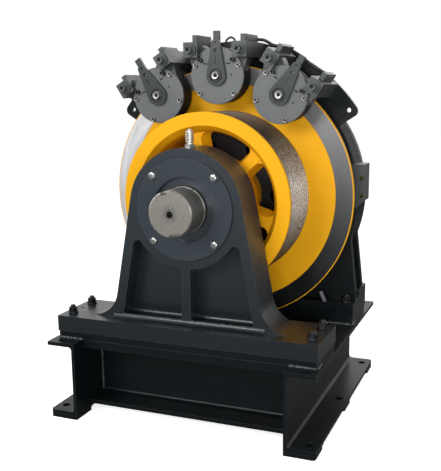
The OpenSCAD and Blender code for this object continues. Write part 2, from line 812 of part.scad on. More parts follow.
// rollers held in a cage of two rings and bars
module bearing_rollers(y0) {
    lip = (bearing_w - roller_l) / 2;
    play = 0.3;
    color(steel) around(roller_count, pitch_r)
        bar_y(0, 0, roller_d / 2, y0 + lip, roller_l, 48);
    color(brass) difference() {
        ring(pitch_r + 5, pitch_r - 5, y0 + 5, bearing_w - 10);
        around(roller_count, pitch_r)
            bar_y(0, 0, roller_d / 2 + play, y0 + lip - play, roller_l + 2 * play, 48);
    }
}

module front_bearing_outer_ring() { bearing_outer_ring(y_bearing_front); }
module rear_bearing_outer_ring() { bearing_outer_ring(y_bearing_rear); }
module front_bearing_inner_ring() { bearing_inner_ring(y_bearing_front); }
module rear_bearing_inner_ring() { bearing_inner_ring(y_bearing_rear); }
module front_bearing_rollers() { bearing_rollers(y_bearing_front); }
module rear_bearing_rollers() { bearing_rollers(y_bearing_rear); }

seal_w = 12;
seal_track_r = bearing_seat_d / 2;
seal_r = seal_track_r + 14;

module front_bearing_cover() {
    y0 = y_house - 1;
    color(paint_black) difference() {
        union() {
            ring(cover_d / 2, 0, y0, cover_flange_t + 1);
            ring(bearing_r, 0, y0, y_bearing_front - y0);
        }
        ring(cover_recess_d / 2, 0, y0 - over, cover_recess_depth + over);
        ring(seal_track_r + 2, 0, y0 - over, y_bearing_front - y0 + 2 * over);
        ring(seal_r + fit, 0, y_bearing_front - seal_w, seal_w + over);
        ring(bearing_r - 14, 0, y_bearing_front - 2, 2 + over);
        around(4, cover_bolt_circle / 2, 45)
            bar_y(0, 0, cover_bolt_d / 2 + fit, y0 - over, y_bearing_front - y0 + 2 * over);
    }
}

module front_shaft_seal() {
    color(black_plastic) ring(seal_r, seal_track_r + turning_play, y_bearing_front - seal_w, seal_w);
}

module front_inner_cover() {
    y0 = y_bearing_front + bearing_w;
    color(paint_black) difference() {
        union() {
            ring(bearing_r - 20, shoulder_d / 2 + 1, y0, y_house_rear - y0);
            ring(bearing_r + 10, shoulder_d / 2 + 1, y_house_rear, 7);
        }
        ring(bearing_r - 32, 0, y0 - over, 6);
    }
}

module rear_bearing_cover() {
    y0 = y_rear_house_rear - 8;
    color(paint_black) difference() {
        union() {
            ring(cover_d / 2, 0, y0, cover_rear_t + 8);
            ring(bearing_r, bearing_r - 12, y_bearing_rear + bearing_w, 10);
        }
        ring(bearing_seat_d / 2 + 2, 0, y0 - over, 11);
        ring(spigot_r + 2, 0, y0, 40);
        around(4, cover_bolt_circle / 2, 45)
            bar_y(0, 0, cover_bolt_d / 2 + fit, y0 - over, cover_bolt_l);
    }
}

module hex_bolt(af, d, y_face, side, len) {
    head = d * 0.63;
    hex_y(0, 0, af, side > 0 ? y_face : y_face - head, head);
    bar_y(0, 0, d / 2, side > 0 ? y_face - len : y_face - over, len + over, 32);
}

module cover_bolts() {
    color(bolt_steel) {
        around(4, cover_bolt_circle / 2, 45)
            hex_bolt(cover_bolt_af, cover_bolt_d, y_house - 1, -1, cover_bolt_l);
        around(4, cover_bolt_circle / 2, 45)
            hex_bolt(cover_bolt_af, cover_bolt_d, y_rear_house_rear + cover_rear_t, 1, cover_bolt_l);
    }
}

y_nipple = y_house + 50;

module grease_nipple() {
    color(steel) translate([0, y_nipple, axis_h + housing_r - 12]) rotate_extrude($fn = 48)
        polygon([[0, 0], [5, 0], [5, 12], [15, 12], [15, 19], [13.5, 20.5], [9, 20.5], [9, 24], [12, 26],
            [12, nipple_h - 7], [10.5, nipple_h - 4], [6, nipple_h - 3], [6, nipple_h - 1],
            [5, nipple_h], [0, nipple_h]]);
}

// ---------------------------------------------------------------- rotating parts

hub_y0 = y_sheave;
hub_y1 = y_disc;
rotor_hub_y0 = y_disc;
rotor_hub_y1 = y_rear_house - 6;

module main_shaft() {
    seat_r = bearing_seat_d / 2;
    end_r = shaft_end_d / 2;
    hub_r = hub_seat_d / 2;
    chamfer = 3;
    color(steel) difference() {
        turned() polygon([[0, y_shaft_front], [end_r - chamfer, y_shaft_front],
            [end_r, y_shaft_front + chamfer], [end_r, y_house - 1],
            [seat_r, y_house - 1], [seat_r, y_bearing_front + bearing_w],
            [shoulder_d / 2, y_bearing_front + bearing_w], [shoulder_d / 2, hub_y0],
            [hub_r, hub_y0], [hub_r, rotor_hub_y1], [shoulder_d / 2, rotor_hub_y1],
            [shoulder_d / 2, y_bearing_rear], [seat_r, y_bearing_rear],
            [seat_r, y_shaft_rear], [spigot_r, y_shaft_rear], [spigot_r, y_encoder + encoder_l - 8],
            [0, y_encoder + encoder_l - 8]]);
        // notches and centre hole of the free end
        translate([0, 0, axis_h]) rotate([0, notch_angle, 0]) for (turn = [0, 180])
            rotate([0, turn, 0]) translate([-notch_w / 2, y_shaft_front - over, end_r - notch_d])
                cube([notch_w, 30 + over, notch_d + over]);
        bar_y(0, axis_h, 9, y_shaft_front - over, 25);
        // keyways
        for (y = [hub_y0 + 30, rotor_hub_y0 + 20]) key_space(y, 0, 1);
    }
}

key_l = 100;
// room for one key in the shaft and hub, from its front end at y
module key_space(y, play, top) {
    l = y < y_disc ? key_l : rotor_hub_y1 - rotor_hub_y0 - 30;
    translate([-key_w / 2 - play, y - play, axis_h + hub_seat_d / 2 - key_h * 0.6 - play])
        cube([key_w + 2 * play, l + 2 * play, key_h + play + top]);
}

module shaft_keys() {
    color(steel) for (y = [hub_y0 + 30, rotor_hub_y0 + 20]) key_space(y, -fit, 0);
}

module sheave_profile() {
    r_out = sheave_d / 2;
    r_band = r_out - sheave_band_drop;
    y_spoke = y_sheave + spoke_inset;
    y1 = y_disc;
    difference() {
        polygon([[sheave_ring_id / 2, y_sheave], [r_out, y_sheave], [r_out, y_sheave + sheave_flange_t],
            [r_band, y_sheave + sheave_flange_t], [r_band, y1], [sheave_rim_id / 2, y1],
            [sheave_rim_id / 2, y_spoke - 4]]);
        for (i = [0 : groove_count - 1]) {
            y = y_sheave + sheave_flange_t + (y1 - y_sheave - sheave_flange_t
                - (groove_count - 1) * groove_pitch) / 2 + i * groove_pitch;
            translate([r_band - groove_depth + groove_r, y]) circle(groove_r, $fn = 24);
            translate([r_band - groove_depth + groove_r, y]) polygon([[0, -groove_r], [groove_depth, -groove_r
                - 1], [groove_depth, groove_r + 1], [0, groove_r]]);
        }
    }
}

// one tapered spoke from the dish to the rim, upright
module spoke() {
    y0 = y_sheave + spoke_inset;
    r0 = dish_d / 2 - 6;
    translate([0, 0, r0]) linear_extrude(sheave_rim_id / 2 + 4 - r0)
        polygon([[-spoke_front_w / 2, y0], [spoke_front_w / 2, y0], [spoke_rear_w / 2, y0 + spoke_l],
            [-spoke_rear_w / 2, y0 + spoke_l]]);
}

module traction_sheave() {
    y0 = y_sheave + spoke_inset;
    color(paint_yellow) difference() {
        union() {
            turned() sheave_profile();
            ring(dish_d / 2, hub_seat_d / 2, y0 + 2, spoke_l - 4);
            ring(sheave_hub_d / 2, hub_seat_d / 2, hub_y0, hub_y1 - hub_y0);
            around(spoke_count, 0, spoke_angle) spoke();
        }
        ring(hub_seat_d / 2 + fit, 0, hub_y0 - over, sheave_w + 2 * over);
        key_space(hub_y0 + 30, 0, 0);
        around(disc_bolt_count, disc_bolt_circle / 2) bar_y(0, 0, disc_bolt_d / 2 + fit, y_disc - 30, 40, 32);
    }
}

module brake_disc() {
    color(paint_yellow) difference() {
        ring(disc_d / 2, sheave_rim_id / 2, y_disc, disc_t);
        // groove turned between the painted web and the bare track
        ring(track_id / 2 + 1.5, track_id / 2 - 1.5, y_disc - over, track_step + over);
        around(disc_bolt_count, disc_bolt_circle / 2)
            bar_y(0, 0, disc_bolt_d / 2 + fit, y_disc - over, 40, 32);
    }
}

rotor_flange_t = 14;

module disc_bolts() {
    y_face = y_disc_rear + rotor_flange_t;
    color(bolt_steel) around(disc_bolt_count, disc_bolt_circle / 2)
        hex_bolt(disc_bolt_d * 1.5, disc_bolt_d, y_face, 1, rotor_flange_t + disc_t + 28);
}

module rotor_drum() {
    y0 = y_disc_rear;
    r = rotor_d / 2;
    color(steel) difference() {
        turned() {
            translate([hub_seat_d / 2 + fit, y0]) square([34, rotor_hub_y1 - y0]);
            translate([hub_seat_d / 2 + fit, y0]) square([r - hub_seat_d / 2, rotor_flange_t]);
            translate([r - rotor_wall, y0]) square([rotor_wall, y_core + core_l - y0]);
        }
        key_space(rotor_hub_y0 + 20, 0, 0);
        around(disc_bolt_count, disc_bolt_circle / 2) bar_y(0, 0, disc_bolt_d / 2 + fit, y0 - over, 40, 32);
        // lightening holes between hub and bolt circle
        around(6, (hub_seat_d / 2 + disc_bolt_circle / 2) / 2 + 8, 30) bar_y(0, 0, 30, y0 - over, 40);
    }
}

module rotor_magnets() {
    color(bolt_steel) difference() {
        ring(magnet_r, rotor_d / 2 + fit, y_core, core_l);
        around(magnet_count, 0) translate([-magnet_gap / 2, y_core - over, rotor_d / 2 - 5])
            cube([magnet_gap, core_l + 2 * over, magnet_t + 10]);
    }
}

// ---------------------------------------------------------------- stator

module stator_frame() {
    r = stator_d / 2;
    pitch = stator_l / stator_rib_count;
    color(paint_black) difference() {
        turned() {
            translate([stator_bore_r, y_stator]) square([stator_wall, stator_l]);
            for (i = [0 : stator_rib_count - 1])
                translate([r - 1, y_stator + (i + 0.3) * pitch]) square([1 + stator_rib_h, pitch * 0.4]);
        }
    }
}

module stator_core() {
    color(steel) difference() {
        ring(stator_bore_r - fit, core_r, y_core, core_l);
        around(slot_count, 0) translate([-slot_w / 2, y_core - over, core_r - 5])
            cube([slot_w, core_l + 2 * over, slot_depth + 5]);
    }
}

// coil sides in the slots, joined by the end turns
module stator_windings() {
    end_l = (stator_l - core_l) / 2 - 4;
    r0 = core_r + 4;
    r1 = core_r + slot_depth - fit;
    color(copper) {
        around(slot_count, 0) translate([-slot_w / 2 + fit, y_core - 2, r0])
            cube([slot_w - 2 * fit, core_l + 4, r1 - r0]);
        ring(r1, r0, y_core - end_l, end_l - 0.5);
        ring(r1, r0, y_core + core_l + 0.5, end_l - 0.5);
    }
}

module sector(r, half_angle) {
    far = 2 * r;
    intersection() {
        circle(r, $fn = 180);
        polygon([[0, 0], [-far * sin(half_angle), far * cos(half_angle)], [0, 2 * far],
            [far * sin(half_angle), far * cos(half_angle)]]);
    }
}

// what is cut away to round the corner between an arc of radius r and the upright line to its middle
module arc_corner_waste(r, c) {
    h = sqrt((r - c) * (r - c) - c * c);
    k = (r + 3) / (r - c);
    difference() {
        polygon([[-c, h], [-c * k, h * k], [over, r + 3], [over, h]]);
        translate([-c, h]) circle(c, $fn = 64);
    }
}

module brake_carrier() {
    color(paint_black) difference() {
        along_y(y_carrier, carrier_t) translate([0, axis_h]) difference() {
            sector(carrier_r, carrier_half_angle);
            circle(carrier_inner_r, $fn = fn);
            for (s = [0, 1]) mirror([s, 0]) rotate(-carrier_half_angle)
                arc_corner_waste(carrier_r, ear_corner_r);
        }
        for (s = [-1, 1]) translate([0, 0, axis_h]) rotate([0, s * 54.4, 0])
            bar_y(0, ear_hole_r, ear_hole_d / 2, y_carrier - over, carrier_t + 2 * over);
        for (a = brake_angles) at_brake(a) for (s = [-1, 1])
            bar_y(s * guide_x, guide_z, guide_bolt_d / 2 + 0.2, y_carrier - over, carrier_t + 2 * over);
    }
}

terminal_z = axis_h + 31;
terminal_x = base_w / 2 + 17 - terminal_w;

module terminal_box() {
    y0 = y_stator - 10;
    z0 = terminal_z - terminal_h / 2;
    color(paint_grey) difference() {
        union() {
            along_y(y0, 10) polygon([[terminal_x, z0], [terminal_x + terminal_w - 26, z0],
                [terminal_x + terminal_w, z0 + 22], [terminal_x + terminal_w, z0 + terminal_h],
                [terminal_x, z0 + terminal_h]]);
            translate([terminal_x, y0 + 9, z0 + 22]) cube([terminal_w, terminal_l, terminal_h - 22]);
        }
        ring(stator_d / 2 + stator_rib_h + 0.3, 0, y_stator - 0.01, stator_l);
        for (z = entry_zs) bar_y(entry_x, z, entry_d / 2, y0 - over, 30);
    }
}

entry_x = terminal_x + terminal_w - 9;
entry_zs = [terminal_z - 28, terminal_z + 24];

module cable_sleeves() {
    color(brass) for (z = entry_zs) translate([entry_x, y_stator - 8, z]) rotate([-90, 0, 0]) difference() {
        cylinder(r = entry_d / 2 - fit, h = 24, $fn = 48);
        translate([0, 0, -over]) cylinder(r = entry_d / 2 - 3, h = 16, $fn = 48);
    }
}

module encoder() {
    color(black_plastic) difference() {
        union() {
            ring(encoder_r, 0, y_encoder, encoder_l);
            ring(encoder_flange_r, 0, y_encoder, encoder_flange_t);
        }
        ring(spigot_r + turning_play, 0, y_encoder - over, encoder_l - 5 + over);
    }
}

// ---------------------------------------------------------------- brakes

module brake_body(angle) {
    r = magnet_body_d / 2;
    half = guide_block / 2;
    lug_l = 40;
    color(paint_grey) at_brake(angle) difference() {
        union() {
            bar_y(0, 0, r, y_body, magnet_body_l, 96);
            both_sides() {
                translate([guide_x - half, y_block, guide_z - half])
                    cube([guide_block, y_carrier - y_block, guide_block]);
                bar_y(guide_x, guide_z, half - 3, y_block - 6, 6 + over);
                // arm between the round body and the guide block
                along_y(y_body + 2, lug_l) polygon([[r * 0.35, r * 0.9],
                    [guide_x - half + 3, guide_z + half - 5], [guide_x, guide_z + half - 5],
                    [guide_x + half - 4, guide_z - half + 6], [r * 0.98, r * 0.15], [r * 0.6, r * 0.1]]);
            }
        }
        // coil space and spindle bore
        translate([0, y_body + 14, 0]) rotate([-90, 0, 0]) difference() {
            cylinder(r = coil_ro + 0.3, h = magnet_body_l, $fn = 96);
            translate([0, 0, -over]) cylinder(r = coil_ri - 0.3, h = magnet_body_l + 2 * over, $fn = 96);
        }
        bar_y(0, 0, spindle_d / 2 + turning_play, y_body - over, 40);
        // spring pockets
        for (i = [0 : 5]) rotate([0, 30 + 60 * i, 0])
            bar_y(0, (coil_ro + r) / 2, 6.5, y_body + magnet_body_l - spring_l, spring_l + over, 32);
        both_sides() bar_y(guide_x, guide_z, guide_bolt_d / 2 + 0.2, y_block - 8,
            y_carrier - y_block + 16);
        for (a = screw_angles) rotate([0, a, 0]) bar_y(0, cover_screw_r, screw_shank_d / 2 + fit,
            y_body - over, screw_reach + 3, 32);
    }
}

module brake_cover(angle) {
    half = guide_block / 2;
    color(paint_grey) at_brake(angle) difference() {
        translate([0, y_cover, 0]) rotate([-90, 0, 0]) union() {
            cylinder(r1 = brake_cover_d / 2 - 1.5, r2 = brake_cover_d / 2, h = 1.5, $fn = 96);
            translate([0, 0, 1.5]) cylinder(d = brake_cover_d, h = brake_cover_t - 1.5, $fn = 96);
        }
        bar_y(0, 0, spindle_d / 2 + turning_play, y_cover - over, brake_cover_t + 2 * over);
        for (a = screw_angles) rotate([0, a, 0])
            bar_y(0, cover_screw_r, screw_shank_d / 2 + 0.2, y_cover - over, brake_cover_t + 2 * over, 32);
        for (s = [-1, 1]) rotate([0, s * stop_angle, 0])
            bar_y(0, stop_r, screw_shank_d / 2 + 0.2, y_cover - over, brake_cover_t + 2 * over, 32);
        // two dark setting marks and the sight hole
        for (s = [-1, 1]) translate([s * 36 - 6, y_cover - over, 32]) cube([12, 2 + over, 4]);
        bar_y(45, 2, 2.5, y_cover - over, 4 + over, 24);
        // corners cut out for the guide blocks
        both_sides() translate([guide_x - half - 0.3, y_cover - over, guide_z - half - 0.3])
            cube([guide_block, brake_cover_t + 2 * over, guide_block]);
    }
}

module brake_coils() {
    color(copper) for (a = brake_angles) at_brake(a)
        translate([0, y_body + 16, 0]) rotate([-90, 0, 0]) difference() {
            cylinder(r = coil_ro, h = coil_l, $fn = 96);
            translate([0, 0, -over]) cylinder(r = coil_ri, h = coil_l + 2 * over, $fn = 96);
        }
}

module brake_springs() {
    wire = 2.6;
    turns = 3;
    color(steel) for (a = brake_angles) at_brake(a) for (i = [0 : 5]) rotate([0, 30 + 60 * i, 0])
        translate([0, y_body + magnet_body_l - spring_l, (coil_ro + magnet_body_d / 2) / 2])
            rotate([-90, 0, 0]) rotate_extrude($fn = 32) for (t = [0 : turns])
                translate([3.6, wire + t * (spring_l - 2 * wire) / turns]) circle(wire, $fn = 16);
}

module armature(angle) {
    color(steel) at_brake(angle) {
        difference() {
            bar_y(0, 0, magnet_body_d / 2 - 7, y_armature, armature_t, 96);
            bar_y(0, 0, spindle_d / 2 + 1, y_armature - over, 4, 48);
        }
        translate([-lining_l / 2, y_armature + armature_t - 0.5, -lining_h / 2])
            cube([lining_l, lining_t + 0.5, lining_h]);
    }
}

module fixed_linings() {
    y0 = y_disc_rear + lining_gap;
    color(black_plastic) for (a = brake_angles) at_brake(a) difference() {
        translate([-lining_l / 2, y0, -lining_h / 2]) cube([lining_l, y_carrier - y0, lining_h]);
        translate([-4, y0 - over, -lining_h]) cube([8, 5 + over, 2 * lining_h]);
    }
}

module brake_guide_bolts() {
    d = guide_bolt_d;
    y0 = y_block - 6;
    color(bolt_steel) for (a = brake_angles) at_brake(a) both_sides() translate([guide_x, 0, guide_z]) {
        difference() {
            union() {
                bar_y(0, 0, d / 2, y0 - 4, y_stator + 15 - y0 + 4, 48);
                bar_y(0, 0, d * 0.95, y0 - 3, 3, 48);
                bar_y(0, 0, d * 0.72, y0 - 14, 12, 48);
            }
            hex_y(0, 0, d * 0.62, y0 - 14 - over, 7 + over);
        }
        hex_y(0, 0, d * 1.5, y_stator, 13);
    }
}

module socket_screw(head_d, head_h, shank_d, y_face, len) {
    difference() {
        union() {
            bar_y(0, 0, head_d / 2, y_face - head_h, head_h, 32);
            bar_y(0, 0, shank_d / 2, y_face - over, len + over, 32);
        }
        hex_y(0, 0, head_d * 0.48, y_face - head_h - over, head_h * 0.6 + over);
    }
}

module brake_cover_screws() {
    for (a = brake_angles) at_brake(a) {
        color(steel) for (b = screw_angles) rotate([0, b, 0]) translate([0, 0, cover_screw_r])
            socket_screw(screw_head_d, screw_head_h, screw_shank_d, y_cover, brake_cover_t + screw_reach);
        color(black_plastic) for (s = [-1, 1]) rotate([0, s * stop_angle, 0]) translate([0, 0, stop_r])
            socket_screw(screw_head_d, stop_head_h, screw_shank_d, y_cover, brake_cover_t - 0.5);
    }
}

module brake_switch_boxes() {
    color(paint_grey) for (a = brake_angles) at_brake(a) both_sides()
        translate([guide_x - switch_w / 2, y_block + switch_behind, guide_z + guide_block / 2]) {
            cube([switch_w, switch_l, switch_h]);
            translate([switch_w - 1, 12, 5]) cube([2.5, switch_l - 30, switch_h - 10]);
        }
}

// ---------------------------------------------------------------- release levers

module release_lever(angle) {
    y1 = y_cover - 0.3;
    half = asin((lever_hub_r - lever_tip_r) / lever_eye_r);
    color(paint_grey) at_brake(angle) difference() {
        union() {
            bar_y(0, 0, lever_hub_r, y_lever, y1 - y_lever, 96);
            bar_y(0, lever_eye_r, lever_tip_r, y_lever, lever_t, 64);
            along_y(y_lever, lever_t) polygon([
                [lever_hub_r * cos(half), lever_hub_r * sin(half)],
                [lever_tip_r * cos(half), lever_eye_r + lever_tip_r * sin(half)],
                [-lever_tip_r * cos(half), lever_eye_r + lever_tip_r * sin(half)],
                [-lever_hub_r * cos(half), lever_hub_r * sin(half)]]);
            // handle behind the tip
            translate([-handle_w / 2, y_lever + lever_t - 1, lever_eye_r - 8])
                cube([handle_w, 10, handle_r - lever_eye_r + 8]);
        }
        bar_y(0, 0, spindle_d / 2 + fit, y_lever - over, 40);
        // washer seat, sight slot, fixing hole and cable eye
        bar_y(0, 0, release_washer_d / 2 + 0.2, y_lever - over, 4 + over, 64);
        bar_y(0, lever_hole_r, 6, y_lever - over, lever_t + 2 * over, 32);
        translate([-2, y_lever - over, 34]) cube([4, 2.5 + over, 24]);
        bar_y(0, lever_eye_r + 2, 3.5, y_lever - over, 40, 24);
    }
}

module release_spindle(angle) {
    color(steel) at_brake(angle) difference() {
        union() {
            bar_y(0, 0, spindle_d / 2, y_lever, y_body + 34 - y_lever, 48);
            bar_y(0, 0, release_washer_d / 2, y_lever + 1, 3, 64);
            bar_y(0, 0, release_head_d / 2, y_lever - 7, 9, 48);
        }
        hex_y(0, 0, release_head_d * 0.42, y_lever - 7 - over, 6 + over);
    }
}

// ---------------------------------------------------------------- cables

// cross product, length and unit length of vectors
function unit(v) = v / norm(v);

// points of a smooth curve through a list of route points, steps points for each stretch
function spline_point(p, i, t) = let (
    n = len(p) - 1,
    a = p[max(i - 1, 0)], b = p[i], c = p[i + 1], d = p[min(i + 2, n)])
    0.5 * (2 * b + (c - a) * t + (2 * a - 5 * b + 4 * c - d) * t * t + (3 * b - a - 3 * c + d) * t * t * t);
function spline(p, steps) = concat(
    [for (i = [0 : len(p) - 2], k = [0 : steps - 1]) spline_point(p, i, k / steps)], [p[len(p) - 1]]);

// direction of the path at each of its points; the ends use the given directions
function directions(path, first, last) = [for (i = [0 : len(path) - 1])
    i == 0 ? first : i == len(path) - 1 ? last : unit(path[i + 1] - path[i - 1])];

// a side vector carried along the path without twist
function carried(dirs, v, i = 0) = i >= len(dirs) ? [] : let (
    w = unit(v - (v * dirs[i]) * dirs[i])) concat([w], carried(dirs, w, i + 1));

module tube(path, d, first, last, start, sides = 8) {
    dirs = directions(path, first, last);
    sidev = carried(dirs, start);
    points = [for (i = [0 : len(path) - 1], k = [0 : sides - 1]) path[i]
        + d / 2 * (cos(360 * k / sides) * sidev[i] + sin(360 * k / sides) * cross(dirs[i], sidev[i]))];
    n = len(path);
    polyhedron(points, concat(
        [[for (k = [sides - 1 : -1 : 0]) k]],
        [for (i = [0 : n - 2], k = [0 : sides - 1])
            [i * sides + k, i * sides + (k + 1) % sides,
                (i + 1) * sides + (k + 1) % sides, (i + 1) * sides + k]],
        [[for (k = [0 : sides - 1]) (n - 1) * sides + k]]));
}

// a place given in the frame of one brake
function brake_point(angle, x, y, z) = [x * cos(angle) + (z + brake_r) * sin(angle), y,
    axis_h - x * sin(angle) + (z + brake_r) * cos(angle)];

// route of the cable from the middle brake's right switch box to the right brake's right one
switch_y = y_block + switch_behind + switch_l;
switch_z = guide_z + guide_block / 2 + switch_h / 2;
cable_y = y_carrier - 10;
switch_route = [
    brake_point(0, guide_x, switch_y, switch_z),
    brake_point(0, guide_x + 4, cable_y - 4, switch_z),
    brake_point(0, guide_x + 25, cable_y, switch_z - 3),
    brake_point(0, guide_x + 53, cable_y, switch_z - 18),
    brake_point(brake_angle, -28 - guide_x, cable_y, switch_z - 6),
    brake_point(brake_angle, 2 - guide_x, cable_y, switch_z - 2),
    brake_point(brake_angle, -38, cable_y, switch_z - 2),
    brake_point(brake_angle, 3, cable_y, switch_z - 6),
    brake_point(brake_angle, guide_x - 36, cable_y, switch_z - 5),
    brake_point(brake_angle, guide_x - 5, cable_y - 4, switch_z),
    brake_point(brake_angle, guide_x, switch_y, switch_z)];

module switch_cable() {
    color(black_plastic) tube(spline(switch_route, 4), switch_cable_d, [0, 1, 0], [0, -1, 0], [0, 0, 1], 8);
}

lead_y = y_body + magnet_body_l / 2 + 1.6;
lead_top = magnet_body_d / 2;
lead_route = [brake_point(0, 13, lead_y, lead_top - 5), brake_point(0, 12, lead_y, lead_top + 12),
    brake_point(0, 17, lead_y, lead_top + 24), brake_point(0, 29, lead_y, lead_top + 30),
    brake_point(0, 40, lead_y, lead_top + 24), brake_point(0, 44, lead_y, lead_top + 12),
    brake_point(0, 44, lead_y, lead_top + 1)];

module coil_lead() {
    color(black_plastic) tube(spline(lead_route, 4), coil_lead_d, [0, 0, 1], [0, 0, -1], [0, 1, 0], 8);
}

// ---------------------------------------------------------------- output

module left_brake_body() { brake_body(-brake_angle); }
module middle_brake_body() { brake_body(0); }
module right_brake_body() { brake_body(brake_angle); }
module left_brake_cover() { brake_cover(-brake_angle); }
module middle_brake_cover() { brake_cover(0); }
module right_brake_cover() { brake_cover(brake_angle); }
module left_armature() { armature(-brake_angle); }
module middle_armature() { armature(0); }
module right_armature() { armature(brake_angle); }
module left_release_lever() { release_lever(-brake_angle); }
module middle_release_lever() { release_lever(0); }
module right_release_lever() { release_lever(brake_angle); }
module left_release_spindle() { release_spindle(-brake_angle); }
module middle_release_spindle() { release_spindle(0); }
module right_release_spindle() { release_spindle(brake_angle); }

left_side_channel();
right_side_channel();
front_cross_beam();
rear_cross_beam();
foot_pads();
front_packing_plate();
rear_packing_plate();
front_pedestal();
rear_pedestal();
pedestal_bolts();
support_stud();
front_bearing_cover();
front_inner_cover();
rear_bearing_cover();
cover_bolts();
front_shaft_seal();
grease_nipple();
front_bearing_outer_ring();
rear_bearing_outer_ring();
front_bearing_rollers();
rear_bearing_rollers();
main_shaft();
front_bearing_inner_ring();
rear_bearing_inner_ring();
shaft_keys();
traction_sheave();
brake_disc();
disc_bolts();
rotor_drum();
rotor_magnets();
stator_frame();
stator_core();
stator_windings();
brake_carrier();
terminal_box();
cable_sleeves();
encoder();
left_brake_body();
middle_brake_body();
right_brake_body();
left_brake_cover();
middle_brake_cover();
right_brake_cover();
left_armature();
middle_armature();
right_armature();
left_release_lever();
middle_release_lever();
right_release_lever();
left_release_spindle();
middle_release_spindle();
right_release_spindle();
brake_coils();
brake_springs();
fixed_linings();
brake_guide_bolts();
brake_cover_screws();
brake_switch_boxes();
switch_cable();
coil_lead();
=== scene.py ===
"""A gearless lift traction machine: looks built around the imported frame."""

from __future__ import annotations

import json
import logging
import math
from dataclasses import dataclass
from enum import Enum
from typing import Optional, Sequence

import bmesh
import bpy
from mathutils import Matrix, Vector


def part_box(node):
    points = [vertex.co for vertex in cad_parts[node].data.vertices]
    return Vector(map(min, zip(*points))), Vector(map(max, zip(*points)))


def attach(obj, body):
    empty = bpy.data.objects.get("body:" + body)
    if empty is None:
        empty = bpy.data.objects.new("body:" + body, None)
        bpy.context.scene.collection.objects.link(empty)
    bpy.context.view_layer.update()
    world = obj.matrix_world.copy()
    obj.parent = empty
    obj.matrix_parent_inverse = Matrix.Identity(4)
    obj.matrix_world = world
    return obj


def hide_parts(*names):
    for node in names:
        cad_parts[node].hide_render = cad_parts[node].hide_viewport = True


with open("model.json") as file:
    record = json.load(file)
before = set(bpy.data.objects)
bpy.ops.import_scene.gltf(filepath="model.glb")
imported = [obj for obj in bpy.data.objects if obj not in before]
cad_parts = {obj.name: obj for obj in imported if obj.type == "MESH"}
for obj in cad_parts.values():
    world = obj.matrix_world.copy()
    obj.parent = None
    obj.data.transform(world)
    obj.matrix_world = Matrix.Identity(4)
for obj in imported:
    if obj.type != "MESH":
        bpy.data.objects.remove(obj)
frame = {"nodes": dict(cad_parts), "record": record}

LOG = logging.getLogger("traction_machine")
MM = 0.001
FLOAT = "NodeSocketFloat"
VECTOR = "NodeSocketVector"
Socket = bpy.types.NodeSocket
Outputs = bpy.types.bpy_prop_collection
Face = bmesh.types.BMFace
Corner = bmesh.types.BMVert
Point2 = tuple[float, float]
Point3 = tuple[float, float, float]
Path = list[Point3]
Colour = Point3
Profile = tuple[Point2, ...]  # radius and height of each ring, from the foot to the tip
Head = tuple[float, float, float, float]  # radius, socket across its flats, foot and top

AXIS_Z = 0.625  # height of the shaft's line
BRAKE_RADIUS = 0.361  # from the shaft's line to a brake's centre
BRAKE_ANGLE = math.radians(32.4)
BRAKES = {"left": -BRAKE_ANGLE, "middle": 0.0, "right": BRAKE_ANGLE}
M16 = (0.0080, 0.0020)  # radius and pitch of the thread
ROUND = 60  # points round a hexagon or a screw head
SHARP = 32.0  # angle above which an edge stays sharp, in degrees
BEVEL_OVER = 8.0  # how much sharper than that an edge is bevelled
MERGED = 0.02 * MM  # corners closer than this become one
STILL = "machine_frame"  # the body that doesn't move


# ---- node trees


